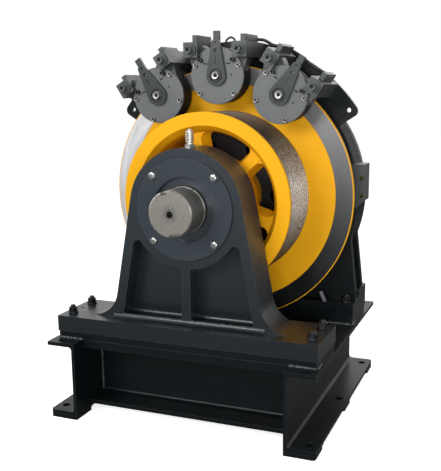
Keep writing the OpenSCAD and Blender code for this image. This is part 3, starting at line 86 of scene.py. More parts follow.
class Tree:
    """A thin layer over a node tree that keeps node building short."""

    def __init__(self, tree: bpy.types.NodeTree) -> None:
        """Wraps a shader or geometry tree."""
        self.tree = tree

    def add(self, kind: str, **settings: object) -> bpy.types.Node:
        """Adds one node.

        Args:
            kind: The node's type name.
            settings: Properties of the node, set by name.

        Returns:
            The new node.
        """
        node = self.tree.nodes.new(kind)
        for key, value in settings.items():
            setattr(node, key, value)
        return node

    def put(self, node: bpy.types.Node, **values: object) -> Outputs:
        """Sets input sockets by name, with spaces written as underscores.

        Args:
            node: The node whose sockets are set.
            values: A number or colour, or an output socket to link from.

        Returns:
            The node's outputs.
        """
        for key, value in values.items():
            self.feed(node.inputs[key.replace("_", " ")], value)
        return node.outputs

    def feed(self, socket: Socket, value: object) -> None:
        """Links a socket to an output, or gives it a plain value.

        Args:
            socket: The input socket.
            value: An output socket or a plain value.
        """
        if isinstance(value, Socket):
            self.tree.links.new(value, socket)
        elif isinstance(value, tuple) and len(value) == 3 and socket.type == "RGBA":
            socket.default_value = (*value, 1.0)
        else:
            socket.default_value = value

    def maths(self, operation: str, *values: object, clamp: bool = False) -> Socket:
        """Adds a Math node.

        Args:
            operation: The operation's name.
            values: Up to three numbers or output sockets.
            clamp: Whether the result is kept between 0 and 1.

        Returns:
            The result socket.
        """
        node = self.add("ShaderNodeMath", operation=operation, use_clamp=clamp)
        for socket, value in zip(node.inputs, values):
            self.feed(socket, value)
        return node.outputs[0]

    def ramp(self, value: object, low: float, high: float,
             out_low: float = 0.0, out_high: float = 1.0) -> Socket:
        """Maps a value from one range to another, clamped.

        Args:
            value: The number or socket to map.
            low: The input value that gives out_low.
            high: The input value that gives out_high.
            out_low: The result at low.
            out_high: The result at high.

        Returns:
            The result socket.
        """
        node = self.add("ShaderNodeMapRange", clamp=True)
        for socket, number in zip(node.inputs, (value, low, high, out_low, out_high)):
            self.feed(socket, number)
        return node.outputs[0]

    def blend(self, factor: object, first: object, second: object) -> Socket:
        """Mixes two colours.

        Args:
            factor: How much of the second colour shows.
            first: A colour or socket.
            second: A colour or socket.

        Returns:
            The mixed colour's socket.
        """
        node = self.add("ShaderNodeMix", data_type="RGBA")
        for place, value in ((0, factor), (6, first), (7, second)):
            self.feed(node.inputs[place], value)
        return node.outputs[2]

    def noise(self, vector: object, scale: float, detail: float = 3.0,
              roughness: float = 0.5) -> Socket:
        """Adds a noise texture and returns its value socket."""
        return self.put(self.add("ShaderNodeTexNoise"), Vector=vector, Scale=scale,
                        Detail=detail, Roughness=roughness)[0]

    def place(self) -> Socket:
        """Gives the shaded point in the machine's own coordinates."""
        return self.add("ShaderNodeTexCoord").outputs["Object"]

    def split(self, vector: object) -> Outputs:
        """Takes a vector apart and returns its X, Y and Z sockets."""
        return self.put(self.add("ShaderNodeSeparateXYZ"), Vector=vector)

    def join(self, x: object, y: object) -> Socket:
        """Makes a vector of an X and a Y."""
        return self.put(self.add("ShaderNodeCombineXYZ"), X=x, Y=y)[0]

    def group(self, tree: bpy.types.NodeTree, **values: object) -> Outputs:
        """Adds a shared group with some of its inputs set and returns its outputs."""
        return self.put(self.add("ShaderNodeGroup", node_tree=tree), **values)


class Effects:
    """Shader groups that several finishes share, each built once."""

    def __init__(self) -> None:
        """Builds every group."""
        self.paint_skin = self._paint_skin()
        self.edges = self._edges()
        self.turning = self._turning()

    @staticmethod
    def _start(name: str, inputs: Sequence[str],
               outputs: Sequence[str]) -> tuple[Tree, Outputs, bpy.types.Node]:
        """Starts a shader group whose sockets are all plain values.

        Args:
            name: The group's name.
            inputs: Names of its inputs.
            outputs: Names of its outputs.

        Returns:
            The wrapped tree, the sockets of its inputs and its output node.
        """
        tree = bpy.data.node_groups.new(name, "ShaderNodeTree")
        for label in inputs:
            tree.interface.new_socket(label, in_out="INPUT", socket_type=FLOAT)
        for label in outputs:
            tree.interface.new_socket(label, in_out="OUTPUT", socket_type=FLOAT)
        t = Tree(tree)
        return t, t.add("NodeGroupInput").outputs, t.add("NodeGroupOutput")

    def _paint_skin(self) -> bpy.types.NodeTree:
        """Builds the sprayed-paint surface: orange peel over a slightly uneven ground.

        Returns:
            The group.
        """
        t, given, out = self._start("sprayed_skin", ("Peel Scale", "Ground Scale", "Ground Share"),
                                    ("Height", "Mottle"))
        place, share = t.place(), given["Ground Share"]
        peel = t.maths("MULTIPLY", t.noise(place, given["Peel Scale"], 2.0),
                       t.maths("SUBTRACT", 1.0, share))
        ground = t.noise(place, given["Ground Scale"], 4.0, 0.6)
        height = t.maths("MULTIPLY_ADD", ground, share, peel)
        t.put(out, Height=height, Mottle=t.noise(place, 7.0, 5.0, 0.62))
        return t.tree

    def _edges(self) -> bpy.types.NodeTree:
        """Builds the mask of outer edges, where paint thins and metal is polished.

        Returns:
            The group.
        """
        t, given, out = self._start("edge_mask", ("Reach", "Share"), ("Mask",))
        bevel = t.put(t.add("ShaderNodeBevel", samples=4), Radius=given["Reach"])
        dot = t.add("ShaderNodeVectorMath", operation="DOT_PRODUCT")
        t.feed(dot.inputs[0], bevel[0])
        t.feed(dot.inputs[1], t.add("ShaderNodeNewGeometry").outputs["Normal"])
        broken = t.ramp(t.noise(t.place(), 160.0, 4.0, 0.7), 0.42, 0.62)
        outer = t.ramp(dot.outputs["Value"], 0.995, 0.93)
        worn = t.maths("MULTIPLY", outer, broken, clamp=True)
        t.put(out, Mask=t.maths("MULTIPLY", worn, given["Share"]))
        return t.tree

    def _turning(self) -> bpy.types.NodeTree:
        """Builds the fine rings that a lathe leaves round the shaft's line.

        Returns:
            The group.
        """
        t, given, out = self._start("turning_rings", ("Rings",),
                                    ("Height", "Streak", "Turn", "Side", "Away"))
        rings = given["Rings"]
        split = t.split(t.place())
        dx, dz = split["X"], t.maths("SUBTRACT", split["Z"], AXIS_Z)
        radius = t.maths("SQRT", t.maths("ADD", t.maths("MULTIPLY", dx, dx),
                                         t.maths("MULTIPLY", dz, dz)))
        line = t.join(t.maths("MULTIPLY", radius, rings), t.maths("MULTIPLY", split["Y"], rings))
        sweep = t.join(t.maths("MULTIPLY", radius, 60.0),
                       t.maths("MULTIPLY", t.maths("ARCTAN2", dx, dz), 2.0))
        reach = t.maths("MAXIMUM", radius, 0.001)
        t.put(out, Height=t.noise(line, 1.0, 3.0, 0.6), Streak=t.noise(sweep, 1.0, 4.0, 0.6),
              Turn=t.maths("DIVIDE", dz, reach), Side=t.maths("DIVIDE", dx, reach), Away=radius)
        return t.tree


class Coating(Enum):
    """How a finish covers the metal below it."""

    PAINT = "paint"
    METAL = "metal"
    PLASTIC = "plastic"


@dataclass(frozen=True)
class Finish:
    """One material of the machine.

    Attributes:
        name: The material's name.
        slot: The record's material slot it belongs to.
        colour: Base colour, linear.
        second: Colour of the mottling.
        coating: What kind of surface it is.
        roughness: Lowest and highest roughness.
        bump: Depth of the surface's relief, in metres.
        peel: Fineness of the relief's orange peel.
        ground: Fineness and share of its slow unevenness.
        wear: Colour of worn edges, or None.
        wear_share: How strongly edges are worn.
        wear_reach: How far from an edge it is worn, in metres.
        specular: Specular level.
        rings: Turning rings for each metre, or 0 for none.
        metallic: How metallic a metal finish is.
        grit_and_shade: Colour of grit specks on a turned face and of its painted shade towards the
            top and bottom, or None.
        painted_shade: Colour of the lower right of a turned face, painted shade standing in for a
            dark reflection, or None.
        pitted: Distance from the centre line within which a turned face is pitted dark.
        foot: How much of its colour is left near the floor: painted shade, darker towards the
            bottom.
    """

    name: str
    slot: str
    colour: Colour
    second: Colour
    coating: Coating = Coating.PAINT
    roughness: Point2 = (0.36, 0.5)
    bump: float = 0.0002
    peel: float = 500.0
    ground: Point2 = (22.0, 0.5)
    wear: Optional[Colour] = None
    wear_share: float = 0.5
    wear_reach: float = 0.0018
    specular: float = 0.5
    rings: float = 0.0
    metallic: float = 1.0
    grit_and_shade: Optional[Colour] = None
    painted_shade: Optional[Colour] = None
    pitted: float = 0.0
    foot: float = 1.0

    def build(self, effects: Effects) -> bpy.types.Material:
        """Makes the material.

        Args:
            effects: The shared shader groups.

        Returns:
            The material, ready to assign.
        """
        material = bpy.data.materials.new(self.name)
        material.use_nodes = True
        material.diffuse_color = (*self.colour, 1.0)
        t = Tree(material.node_tree)
        t.tree.nodes.clear()
        shader = t.add("ShaderNodeBsdfPrincipled")
        t.put(t.add("ShaderNodeOutputMaterial"), Surface=shader.outputs[0])
        if self.rings:
            turned = t.group(effects.turning, Rings=self.rings)
            height, share = turned["Height"], t.ramp(turned["Streak"], 0.35, 0.65)
        else:
            skin = t.group(effects.paint_skin, Peel_Scale=self.peel, Ground_Scale=self.ground[0],
                           Ground_Share=self.ground[1])
            height, share = skin["Height"], t.ramp(skin["Mottle"], 0.3, 0.7)
        colour = t.blend(share, self.colour, self.second)
        if self.rings:
            colour = self.stain(t, turned, colour)
        # painted shade: the colour darkens towards the floor and is full only from 0.72 m up
        if self.foot < 1.0:
            high = t.ramp(t.split(t.place())["Z"], 0.28, 0.72)
            colour = t.blend(high, tuple(channel * self.foot for channel in self.colour), colour)
        if self.wear:
            worn = t.group(effects.edges, Reach=self.wear_reach, Share=self.wear_share)
            colour = t.blend(worn["Mask"], colour, self.wear)
        bump = t.put(t.add("ShaderNodeBump"), Height=height, Distance=self.bump, Strength=1.0)
        t.put(shader, Base_Color=colour, Roughness=t.ramp(share, 0.0, 1.0, *self.roughness),
              Normal=bump[0], Specular_IOR_Level=self.specular,
              Metallic=self.metallic if self.coating is Coating.METAL else 0.0)
        return material

    def stain(self, t: Tree, turned: Outputs,
              colour: Socket) -> Socket:
        """Adds grit, painted shade, a painted highlight and pits to a turned face.

        Args:
            t: The material's tree.
            turned: Outputs of the group of turning rings.
            colour: The clean colour.

        Returns:
            The stained colour.
        """
        # grit specks, and painted shade: a turned face darkens towards its top and bottom, standing
        # in for dark reflections
        if self.grit_and_shade:
            away = t.maths("ABSOLUTE", t.maths("SUBTRACT", turned["Turn"], 0.05))
            grit = t.ramp(t.noise(t.place(), 260.0, 3.0, 0.6), 0.50, 0.62, 0.0, 0.6)
            dark = t.maths("ADD", t.ramp(away, 0.12, 0.75), grit, clamp=True)
            colour = t.blend(dark, colour, self.grit_and_shade)
        # painted shade: the lower right of a turned face darkens towards this colour, standing in
        # for a dark reflection
        if self.painted_shade:
            side = t.maths("MULTIPLY", turned["Side"], -0.5)
            unshaded = t.ramp(t.maths("MULTIPLY_ADD", turned["Turn"], 0.866, side), -0.95, 0.9)
            colour = t.blend(unshaded, self.painted_shade, colour)
            # painted highlight: the left side brightens up to twice the colour, standing in for a
            # bright reflection
            glare = tuple(min(1.0, 2.0 * channel) for channel in self.colour)
            colour = t.blend(t.ramp(turned["Side"], -0.3, -0.95), colour, glare)
        if self.pitted:
            pits = t.noise(t.place(), 420.0, 2.0, 0.6)
            near = t.ramp(turned["Away"], self.pitted * 0.3, self.pitted, 0.50, 0.66)
            dark = t.ramp(t.maths("SUBTRACT", pits, near), 0.0, 0.03)
            colour = t.blend(dark, colour, (0.03, 0.03, 0.03))
        return colour


# ---- stage


@dataclass(frozen=True)
class Lamp:
    """A soft rectangular lamp.

    Attributes:
        name: The lamp's name.
        place: Where it stands.
        aim: The point it looks at.
        size: Its width and height.
        power: Its power in watts.
    """

    name: str
    place: Point3
    aim: Point3
    size: Point2
    power: float

    def build(self) -> None:
        """Hangs the lamp."""
        data = bpy.data.lights.new(self.name, "AREA")
        data.shape = "RECTANGLE"
        data.size, data.size_y = self.size
        data.energy = self.power
        lamp = bpy.data.objects.new(self.name, data)
        lamp.location = self.place
        aim_line = Vector(self.aim) - Vector(self.place)
        lamp.rotation_euler = aim_line.to_track_quat("-Z", "Y").to_euler()
        bpy.context.scene.collection.objects.link(lamp)


@dataclass
class Studio:
    """Camera, floor, world and lamps."""

    lens: float = 58.47
    sensor: float = 36.0
    shift: Point2 = (-0.0203, 0.0098)
    eye: Point3 = (0.87487, -2.15086, 0.95129)
    yaw: float = math.radians(21.56)
    pitch: float = math.radians(11.28)
    roll: float = math.radians(-0.47)
    floor_half: float = 12.0
    floor_lit: float = 0.24
    floor_seen: float = 0.9
    floor_glow: float = 0.72
    ambient: float = 0.40
    lamps: tuple[Lamp, ...] = (
        Lamp("key", (-1.1, -3.4, 2.1), (0.0, 0.0, 0.75), (1.8, 1.4), 80.0),
        Lamp("fill", (2.7, -1.5, 0.8), (0.0, 0.0, 0.35), (1.0, 1.2), 13.0),
        Lamp("front", (1.3, -3.3, 0.8), (0.2, 0.0, 0.62), (1.6, 0.9), 55.0),
        Lamp("rear", (0.5, 3.0, 2.4), (0.0, 0.2, 0.7), (2.0, 1.2), 14.0),
        Lamp("left", (-2.8, -0.4, 1.5), (0.0, 0.0, 0.75), (0.8, 1.8), 34.0),
    )

    def camera(self) -> None:
        """Places the camera at the viewing angle."""
        data = bpy.data.cameras.new("camera")
        data.lens, data.sensor_width = self.lens, self.sensor
        data.shift_x, data.shift_y = self.shift
        data.clip_end = 50.0
        camera = bpy.data.objects.new("camera", data)
        bpy.context.scene.collection.objects.link(camera)
        level = math.cos(self.pitch)
        ahead = Vector((-math.sin(self.yaw) * level, math.cos(self.yaw) * level,
                        -math.sin(self.pitch)))
        right = Vector((math.cos(self.yaw), math.sin(self.yaw), 0.0))
        up = right.cross(ahead)
        side = right * math.cos(self.roll) + up * math.sin(self.roll)
        top = up * math.cos(self.roll) - right * math.sin(self.roll)
        turn = Matrix((side, top, -ahead)).transposed().to_4x4()
        camera.matrix_world = Matrix.Translation(self.eye) @ turn
        bpy.context.scene.camera = camera

    def floor(self) -> None:
        """Lays a wide pale floor under the foot pads."""
        mesh = bpy.data.meshes.new("floor")
        size = self.floor_half
        mesh.from_pydata([(-size, -size, 0), (size, -size, 0), (size, size, 0), (-size, size, 0)],
                         [], [(0, 1, 2, 3)])
        floor = bpy.data.objects.new("floor", mesh)
        bpy.context.scene.collection.objects.link(floor)
        material = bpy.data.materials.new("floor_paint")
        material.use_nodes = True
        t = Tree(material.node_tree)
        shader = t.tree.nodes["Principled BSDF"]
        seen = t.add("ShaderNodeLightPath").outputs["Is Camera Ray"]
        tone = t.blend(seen, (self.floor_lit,) * 3, (self.floor_seen,) * 3)
        t.put(shader, Base_Color=tone, Roughness=0.9, Specular_IOR_Level=0.1)
        glow = t.put(t.add("ShaderNodeEmission"), Color=(1.0, 1.0, 1.0),
                     Strength=t.maths("MULTIPLY", seen, self.floor_glow))
        both = t.add("ShaderNodeAddShader")
        t.feed(both.inputs[0], shader.outputs[0])
        t.feed(both.inputs[1], glow[0])
        t.put(t.tree.nodes["Material Output"], Surface=both.outputs[0])
        mesh.materials.append(material)

    def world(self) -> None:
        """Gives a white background and a soft grey surround."""
        world = bpy.data.worlds.new("surround")
        bpy.context.scene.world = world
        world.use_nodes = True
        t = Tree(world.node_tree)
        path = t.add("ShaderNodeLightPath").outputs
        split = t.split(t.add("ShaderNodeTexCoord").outputs["Generated"])
        mirrored = t.maths("MAXIMUM", t.ramp(split["Z"], 0.0, 0.45, 0.03, 0.75),
                           t.ramp(split["Y"], -0.1, 0.45))
        around = t.maths("ADD", t.maths("MULTIPLY", mirrored, path["Is Glossy Ray"]),
                         t.maths("MULTIPLY", self.ambient, path["Is Diffuse Ray"]))
        seen = t.maths("MAXIMUM", path["Is Camera Ray"], path["Is Transmission Ray"])
        t.put(t.tree.nodes["Background"], Color=(1.0, 1.0, 1.0),
              Strength=t.maths("MAXIMUM", seen, around))

    def build(self) -> None:
        """Sets up everything that isn't the machine."""
        bpy.context.scene.view_settings.view_transform = "Standard"
        self.camera()
        self.floor()
        self.world()
        for lamp in self.lamps:
            lamp.build()


# ---- finishes

# painted shade: foot darkens this enamel towards the floor
DARK = Finish("slate_enamel", "dark_paint", (0.028, 0.036, 0.043), (0.022, 0.029, 0.035),
              roughness=(0.20, 0.34), bump=0.0006, wear=(0.13, 0.14, 0.15), foot=0.28,
              specular=0.42)
COVER = Finish("blue_slate_enamel", "dark_paint", (0.026, 0.035, 0.044), (0.021, 0.029, 0.037),
               roughness=(0.26, 0.38), bump=0.0004, wear=(0.10, 0.12, 0.13), wear_share=0.35)
# painted shade: foot darkens this enamel towards the floor
FRAME = Finish("black_enamel", "dark_paint", (0.0055, 0.0085, 0.0100), (0.0040, 0.0062, 0.0075),
               roughness=(0.26, 0.40), bump=0.0005, wear=(0.09, 0.10, 0.105), specular=0.20,
               foot=0.6)
WELD = Finish("painted_weld", "dark_paint", (0.040, 0.046, 0.050), (0.022, 0.026, 0.029),
              roughness=(0.22, 0.4), bump=0.0008)
YELLOW = Finish("signal_yellow_enamel", "yellow_paint", (0.85, 0.405, 0.0065),
                (0.80, 0.378, 0.0055), roughness=(0.38, 0.50), bump=0.0003,
                wear=(0.80, 0.36, 0.02), wear_share=0.25, specular=0.15)
COAT = Finish("brake_grey_enamel", "grey_paint", (0.112, 0.119, 0.122), (0.094, 0.100, 0.104),
              bump=0.0003, wear=(0.34, 0.34, 0.33), wear_share=0.4)
BLOCK = Finish("dark_grey_enamel", "grey_paint", (0.048, 0.054, 0.056), (0.039, 0.044, 0.046),
               bump=0.0005, wear=(0.17, 0.17, 0.17), wear_share=0.45)
# near-black: the brake bodies' dark paint darkened further as painted shade, and painted shade on
# the cover feet
SHADE = Finish("body_black_and_painted_shade", "grey_paint", (0.012, 0.013, 0.014), (0.008, 0.009, 0.010),
               roughness=(0.55, 0.75), bump=0.0004, specular=0.2)
LEVER = Finish("green_black_enamel", "grey_paint", (0.015, 0.021, 0.0205), (0.011, 0.016, 0.0155),
               roughness=(0.30, 0.44), bump=0.0003, wear=(0.16, 0.17, 0.16))
STEEL = Finish("turned_steel", "turned_steel", (0.56, 0.54, 0.50), (0.44, 0.425, 0.395),
               Coating.METAL, roughness=(0.30, 0.46), bump=0.00008, rings=900.0)
# painted reflection: the track is darkened at its lower right and brightened at its left
TRACK = Finish("brake_track_steel", "turned_steel", (0.40, 0.40, 0.41), (0.32, 0.32, 0.325),
               Coating.METAL, roughness=(0.34, 0.44), bump=0.00004, rings=1400.0, metallic=0.8,
               painted_shade=(0.02, 0.022, 0.024))
# painted shade: the rope grooves darken towards the sheave's top and bottom, with real grit specks
GROOVE = Finish("rope_groove_steel", "turned_steel", (0.72, 0.74, 0.75), (0.50, 0.49, 0.48),
                Coating.METAL, roughness=(0.26, 0.40), bump=0.00012, rings=500.0, metallic=0.6,
                grit_and_shade=(0.045, 0.034, 0.026))
SHAFT = Finish("shaft_end_steel", "turned_steel", (0.36, 0.35, 0.32), (0.24, 0.23, 0.20),
               Coating.METAL, roughness=(0.38, 0.55), bump=0.00015, rings=700.0, pitted=0.034)
BOLT = Finish("plated_steel", "bolt_steel", (0.42, 0.42, 0.41), (0.30, 0.30, 0.295),
              Coating.METAL, roughness=(0.28, 0.42), bump=0.00015)
STUD = Finish("weathered_stud", "turned_steel", (0.12, 0.10, 0.125), (0.08, 0.072, 0.088),
              Coating.METAL, roughness=(0.35, 0.5))
BLACK_BOLT = Finish("black_oxide", "black_bolt", (0.030, 0.032, 0.036), (0.045, 0.046, 0.048),
                    Coating.METAL, roughness=(0.32, 0.5), wear=(0.3, 0.3, 0.29))
BRASS = Finish("dull_brass", "brass_parts", (0.42, 0.34, 0.12), (0.33, 0.27, 0.10),
               Coating.METAL, roughness=(0.35, 0.5), bump=0.0001)
COPPER = Finish("varnished_copper", "copper_wire", (0.42, 0.15, 0.06), (0.34, 0.12, 0.05),
                Coating.METAL, roughness=(0.3, 0.45), bump=0.0003)
CORE = Finish("core_sheet", "core_sheet", (0.14, 0.14, 0.14), (0.10, 0.10, 0.10),
              Coating.METAL, roughness=(0.45, 0.6))
GLAND = Finish("olive_gland", "brass_parts", (0.070, 0.058, 0.018), (0.045, 0.038, 0.014),
               Coating.METAL, roughness=(0.4, 0.55), metallic=0.5)
LINING = Finish("friction_lining", "lining", (0.05, 0.045, 0.04), (0.07, 0.06, 0.05),
                Coating.PLASTIC, roughness=(0.7, 0.9), bump=0.0005)
PLASTIC = Finish("black_plastic", "black_plastic", (0.022, 0.022, 0.024), (0.03, 0.03, 0.03),
                 Coating.PLASTIC, roughness=(0.4, 0.55))
RUBBER = Finish("black_rubber", "rubber_black", (0.016, 0.016, 0.016), (0.024, 0.024, 0.024),
                Coating.PLASTIC, roughness=(0.5, 0.7))
# painted shade: near-black for hex sockets, holes, gaps and the shadowed rotor drum
PIT = Finish("painted_recess_shade", "black_bolt", (0.008, 0.008, 0.009), (0.012, 0.012, 0.012),
             Coating.PLASTIC, roughness=(0.6, 0.8))


class Paintshop:
    """Builds each finish once and hands it out."""

    def __init__(self) -> None:
        """Prepares the shared effects."""
        self.effects = Effects()
        self.made: dict[str, bpy.types.Material] = {}

    def material(self, finish: Finish) -> bpy.types.Material:
        """Gives a finish's material, made the first time it is asked for."""
        if finish.name not in self.made:
            self.made[finish.name] = finish.build(self.effects)
        return self.made[finish.name]


# ---- how solids are dressed


@dataclass(frozen=True)
class Zone:
    """Faces of a piece that get a finish of their own.

    Attributes:
        finish: The finish of these faces.
        radius: Lowest and highest distance from the centre line, in metres.
        along: Lowest and highest Y, in metres.
        centre: X and Z of the centre line along Y.
    """

    finish: Finish
    radius: Point2
    along: Point2 = (-9.0, 9.0)
    centre: Point2 = (0.0, AXIS_Z)

    def holds(self, face: bpy.types.MeshPolygon) -> bool:
        """Tells whether a face of the piece's mesh lies inside the zone."""
        away = math.hypot(face.center.x - self.centre[0], face.center.z - self.centre[1])
        return (self.radius[0] <= away <= self.radius[1]
                and self.along[0] <= face.center.y <= self.along[1])


@dataclass(frozen=True)
class Dress:
    """How one solid of the frame is finished.

    Attributes:
        node: The solid's name.
        finish: The finish of most of it.
        edge: Radius of its broken edges, in metres.
        zones: Faces with finishes of their own, later ones winning.
        sharp: Angle above which an edge counts as sharp, in degrees.
    """

    node: str
    finish: Finish
    edge: float
    zones: tuple[Zone, ...] = ()
    sharp: float = SHARP


# ---- places and rings


def upward(x: float, y: float, z: float) -> Matrix:
    """Places a shape's own Z along the machine's Z."""
    return Matrix.Translation((x, y, z))


def forward(x: float, y: float, z: float, turn: float = 0.0) -> Matrix:
    """Places a shape's own Z along the machine's -Y, turned about its own line."""
    lay = Matrix(((1, 0, 0), (0, 0, -1), (0, 1, 0))).to_4x4()
    return Matrix.Translation((x, y, z)) @ lay @ Matrix.Rotation(turn, 4, "Z")


def flipped(place: Matrix) -> Matrix:
    """Turns a place end for end."""
    return place @ Matrix.Rotation(math.pi, 4, "X")


def on_brake(turn: float, x: float, z: float) -> Point2:
    """Turns a point of an upright brake, with Z from the shaft's line, onto a tilted one."""
    return (x * math.cos(turn) + z * math.sin(turn),
            AXIS_Z - x * math.sin(turn) + z * math.cos(turn))


def round_brake(turn: float, radius: float, angle: float) -> Point2:
    """Finds the point at a radius and an angle in degrees round a brake's centre."""
    around = math.radians(angle)
    return on_brake(turn, radius * math.sin(around), BRAKE_RADIUS + radius * math.cos(around))


def smooth(points: Sequence[Vector], steps: int) -> list[Vector]:
    """Runs a smooth curve through some points.

    Args:
        points: The points, in order.
        steps: Number of pieces between two of them.

    Returns:
        Points along the curve, both ends included.
    """
    line = []
    for i in range(len(points) - 1):
        a, b, c = points[max(i - 1, 0)], points[i], points[i + 1]
        d = points[min(i + 2, len(points) - 1)]
        for k in range(steps):
            t = k / steps
            line.append(0.5 * (2 * b + (c - a) * t + (2 * a - 5 * b + 4 * c - d) * t * t
                               + (3 * b - a - 3 * c + d) * t * t * t))
    return line + [points[-1]]


def ring(radii: Sequence[float], heights: Sequence[float]) -> list[Vector]:
    """Gives a ring of points round Z, with a radius and a height for each."""
    turns = [math.tau * k / len(radii) for k in range(len(radii))]
    return [Vector((r * math.cos(a), r * math.sin(a), z)) for a, r, z in zip(turns, radii, heights)]


def circle(radius: float, height: float, sides: int = ROUND) -> list[Vector]:
    """Gives a round ring of points."""
    return ring([radius] * sides, [height] * sides)


def hexagon_radii(flats: float) -> list[float]:
    """Gives the radius of each point round a hexagon."""
    turns = [math.tau * k / ROUND for k in range(ROUND)]
    return [flats / 2 / math.cos((a % (math.pi / 3)) - math.pi / 6) for a in turns]


# ---- shapes made in code


class Shape:
    """A mesh that grows out of turned, hexagonal and threaded parts.

    Each part grows along the Z of its place, from the height low to the height high.
    Its faces get the material index given with it.
    """

    def __init__(self) -> None:
        """Starts an empty mesh."""
        self.mesh = bmesh.new()

    def corners(self, rows: Sequence[Sequence[Vector]], place: Matrix) -> list[list[Corner]]:
        """Puts down the corners of some rings of points."""
        return [[self.mesh.verts.new(place @ point) for point in row] for row in rows]

    def bands(self, rings: Sequence[Sequence[Corner]], index: int) -> list[Face]:
        """Joins each ring of corners to the next.

        Args:
            rings: Rings of equally many corners.
            index: The faces' material index.

        Returns:
            The faces, band by band.
        """
        faces = []
        for low, high in zip(rings, rings[1:]):
            for i, corner in enumerate(low):
                j = (i + 1) % len(low)
                faces.append(self.mesh.faces.new((corner, low[j], high[j], high[i])))
        for face in faces:
            face.material_index = index
        return faces

    def skin(self, place: Matrix, rows: Sequence[Sequence[Vector]],
             index: int = 0) -> list[Face]:
        """Joins rings of points into a closed skin.

        Args:
            place: Where the part goes.
            rows: Rings of equally many points, from one end to the other.
            index: Its material index.

        Returns:
            The side faces ring by ring, then the two caps.
        """
        rings = self.corners(rows, place)
        faces = self.bands(rings, index)
        for cap in (list(reversed(rings[0])), rings[-1]):
            faces.append(self.mesh.faces.new(cap))
            faces[-1].material_index = index
        return faces

    def turned(self, place: Matrix, profile: Sequence[Point2], index: int = 0,
               sides: int = 48) -> None:
        """Adds a turned part, given the radius and height of each ring from foot to tip."""
        self.skin(place, [circle(r, z, sides) for r, z in profile], index)

    def hexagon(self, place: Matrix, flats: float, low: float, high: float,
                index: int = 0) -> None:
        """Adds a hexagon with the corners of its upper end turned off.

        Args:
            place: Where its centre line goes.
            flats: Width across the flats.
            low: Height of its foot.
            high: Height of its top.
            index: Its material index.
        """
        reach, crown, slope = hexagon_radii(flats), flats * 0.475, 0.58
        falling = [high - (r - crown) * slope for r in reach]
        rows = [ring(reach, [low] * ROUND), ring(reach, falling), circle(crown, high)]
        self.skin(place, rows, index)

    def socket_head(self, place: Matrix, radius: float, flats: float, low: float, high: float,
                    index: int = 0) -> None:
        """Adds a round screw head with a hexagon socket and a broken edge.

        Args:
            place: Where its centre line goes.
            radius: Radius of the head.
            flats: Width of the socket across its flats.
            low: Height of its foot.
            high: Height of its top.
            index: Its material index; the socket gets the next one.
        """
        reach = hexagon_radii(flats)
        depth = high - 0.6 * (high - low)
        broken, dished, point = 0.9 * MM, 0.5 * MM, 0.8 * MM
        rows = [circle(radius, low), circle(radius, high - broken), circle(radius - broken, high),
                circle(flats * 0.62, high), ring(reach, [high - dished] * ROUND),
                ring(reach, [depth] * ROUND), circle(flats * 0.1, depth - point)]
        faces = self.skin(place, rows, index)
        # the socket takes the next finish, which callers give as near-black painted shade
        for face in faces[4 * ROUND:-2] + faces[-1:]:
            face.material_index = index + 1

    def coil(self, place: Matrix, radius: float, wire: float, turns: float, low: float,
             high: float) -> None:
        """Adds a coil spring.

        Args:
            place: Where its centre line goes.
            radius: Radius of the coil's centre line.
            wire: Radius of the wire.
            turns: Number of turns.
            low: Height of its foot.
            high: Height of its top.
        """
        steps, sides = round(turns * 16), 8
        rows = []
        for step in range(steps + 1):
            around = math.tau * turns * step / steps
            middle = low + wire + (high - low - 2 * wire) * step / steps
            out = Vector((math.cos(around), math.sin(around), 0.0))
            angles = [math.tau * k / sides for k in range(sides)]
            rows.append([out * (radius + wire * math.cos(a))
                         + Vector((0.0, 0.0, middle + wire * math.sin(a))) for a in angles])
        self.skin(place, rows)

    def hoop(self, place: Matrix, inner: float, outer: float, low: float, high: float,
             sides: int = 180) -> None:
        """Adds a flat hoop.

        Args:
            place: Where its centre line goes.
            inner: Inner radius.
            outer: Outer radius.
            low: Height of its foot.
            high: Height of its top.
            sides: Number of points round it.
        """
        section = ((inner, low), (outer, low), (outer, high), (inner, high))
        loops = self.corners([circle(r, z, sides) for r, z in section], place)
        self.bands(loops + loops[:1], 0)

    def thread(self, place: Matrix, radius: float, pitch: float, low: float, high: float,
               sides: int = 30) -> None:
        """Adds a rod with a real helical thread and a chamfered tip.

        Args:
            place: Where its centre line goes.
            radius: Radius over the thread.
            pitch: Distance between ridges.
            low: Height where it starts.
            high: Height of its tip.
            sides: Number of points round it.
        """
        steps = max(2, round((high - low) / pitch * 5))
        rows = []
        for step in range(steps + 1):
            z = low + (high - low) * step / steps
            tip = max(0.0, z - (high - pitch)) * 0.9
            phases = [(z / pitch - k / sides) % 1.0 for k in range(sides)]
            cuts = [max(0.55 * pitch * abs(2.0 * phase - 1.0), tip) for phase in phases]
            rows.append(ring([radius - cut for cut in cuts], [z] * sides))
        self.skin(place, rows)

    def finish(self, name: str) -> bpy.types.Mesh:
        """Closes the work.

        Args:
            name: The mesh's name.

        Returns:
            The finished mesh.
        """
        bmesh.ops.recalc_face_normals(self.mesh, faces=self.mesh.faces)
        mesh = bpy.data.meshes.new(name)
        self.mesh.to_mesh(mesh)
        self.mesh.free()
        mesh.shade_smooth()
        mesh.set_sharp_from_angle(angle=math.radians(SHARP))
        return mesh


@dataclass(frozen=True)
class Bead:
    """A small round form that is repeated along a path.

    Attributes:
        name: Name of the piece it makes.
        finish: Its finish.
        pitch: Distance between copies.
        size: Half sizes of the form across, across and along the path.
        uneven: How much the sizes vary.
    """

    name: str
    finish: Finish
    pitch: float
    size: Point3
    uneven: float


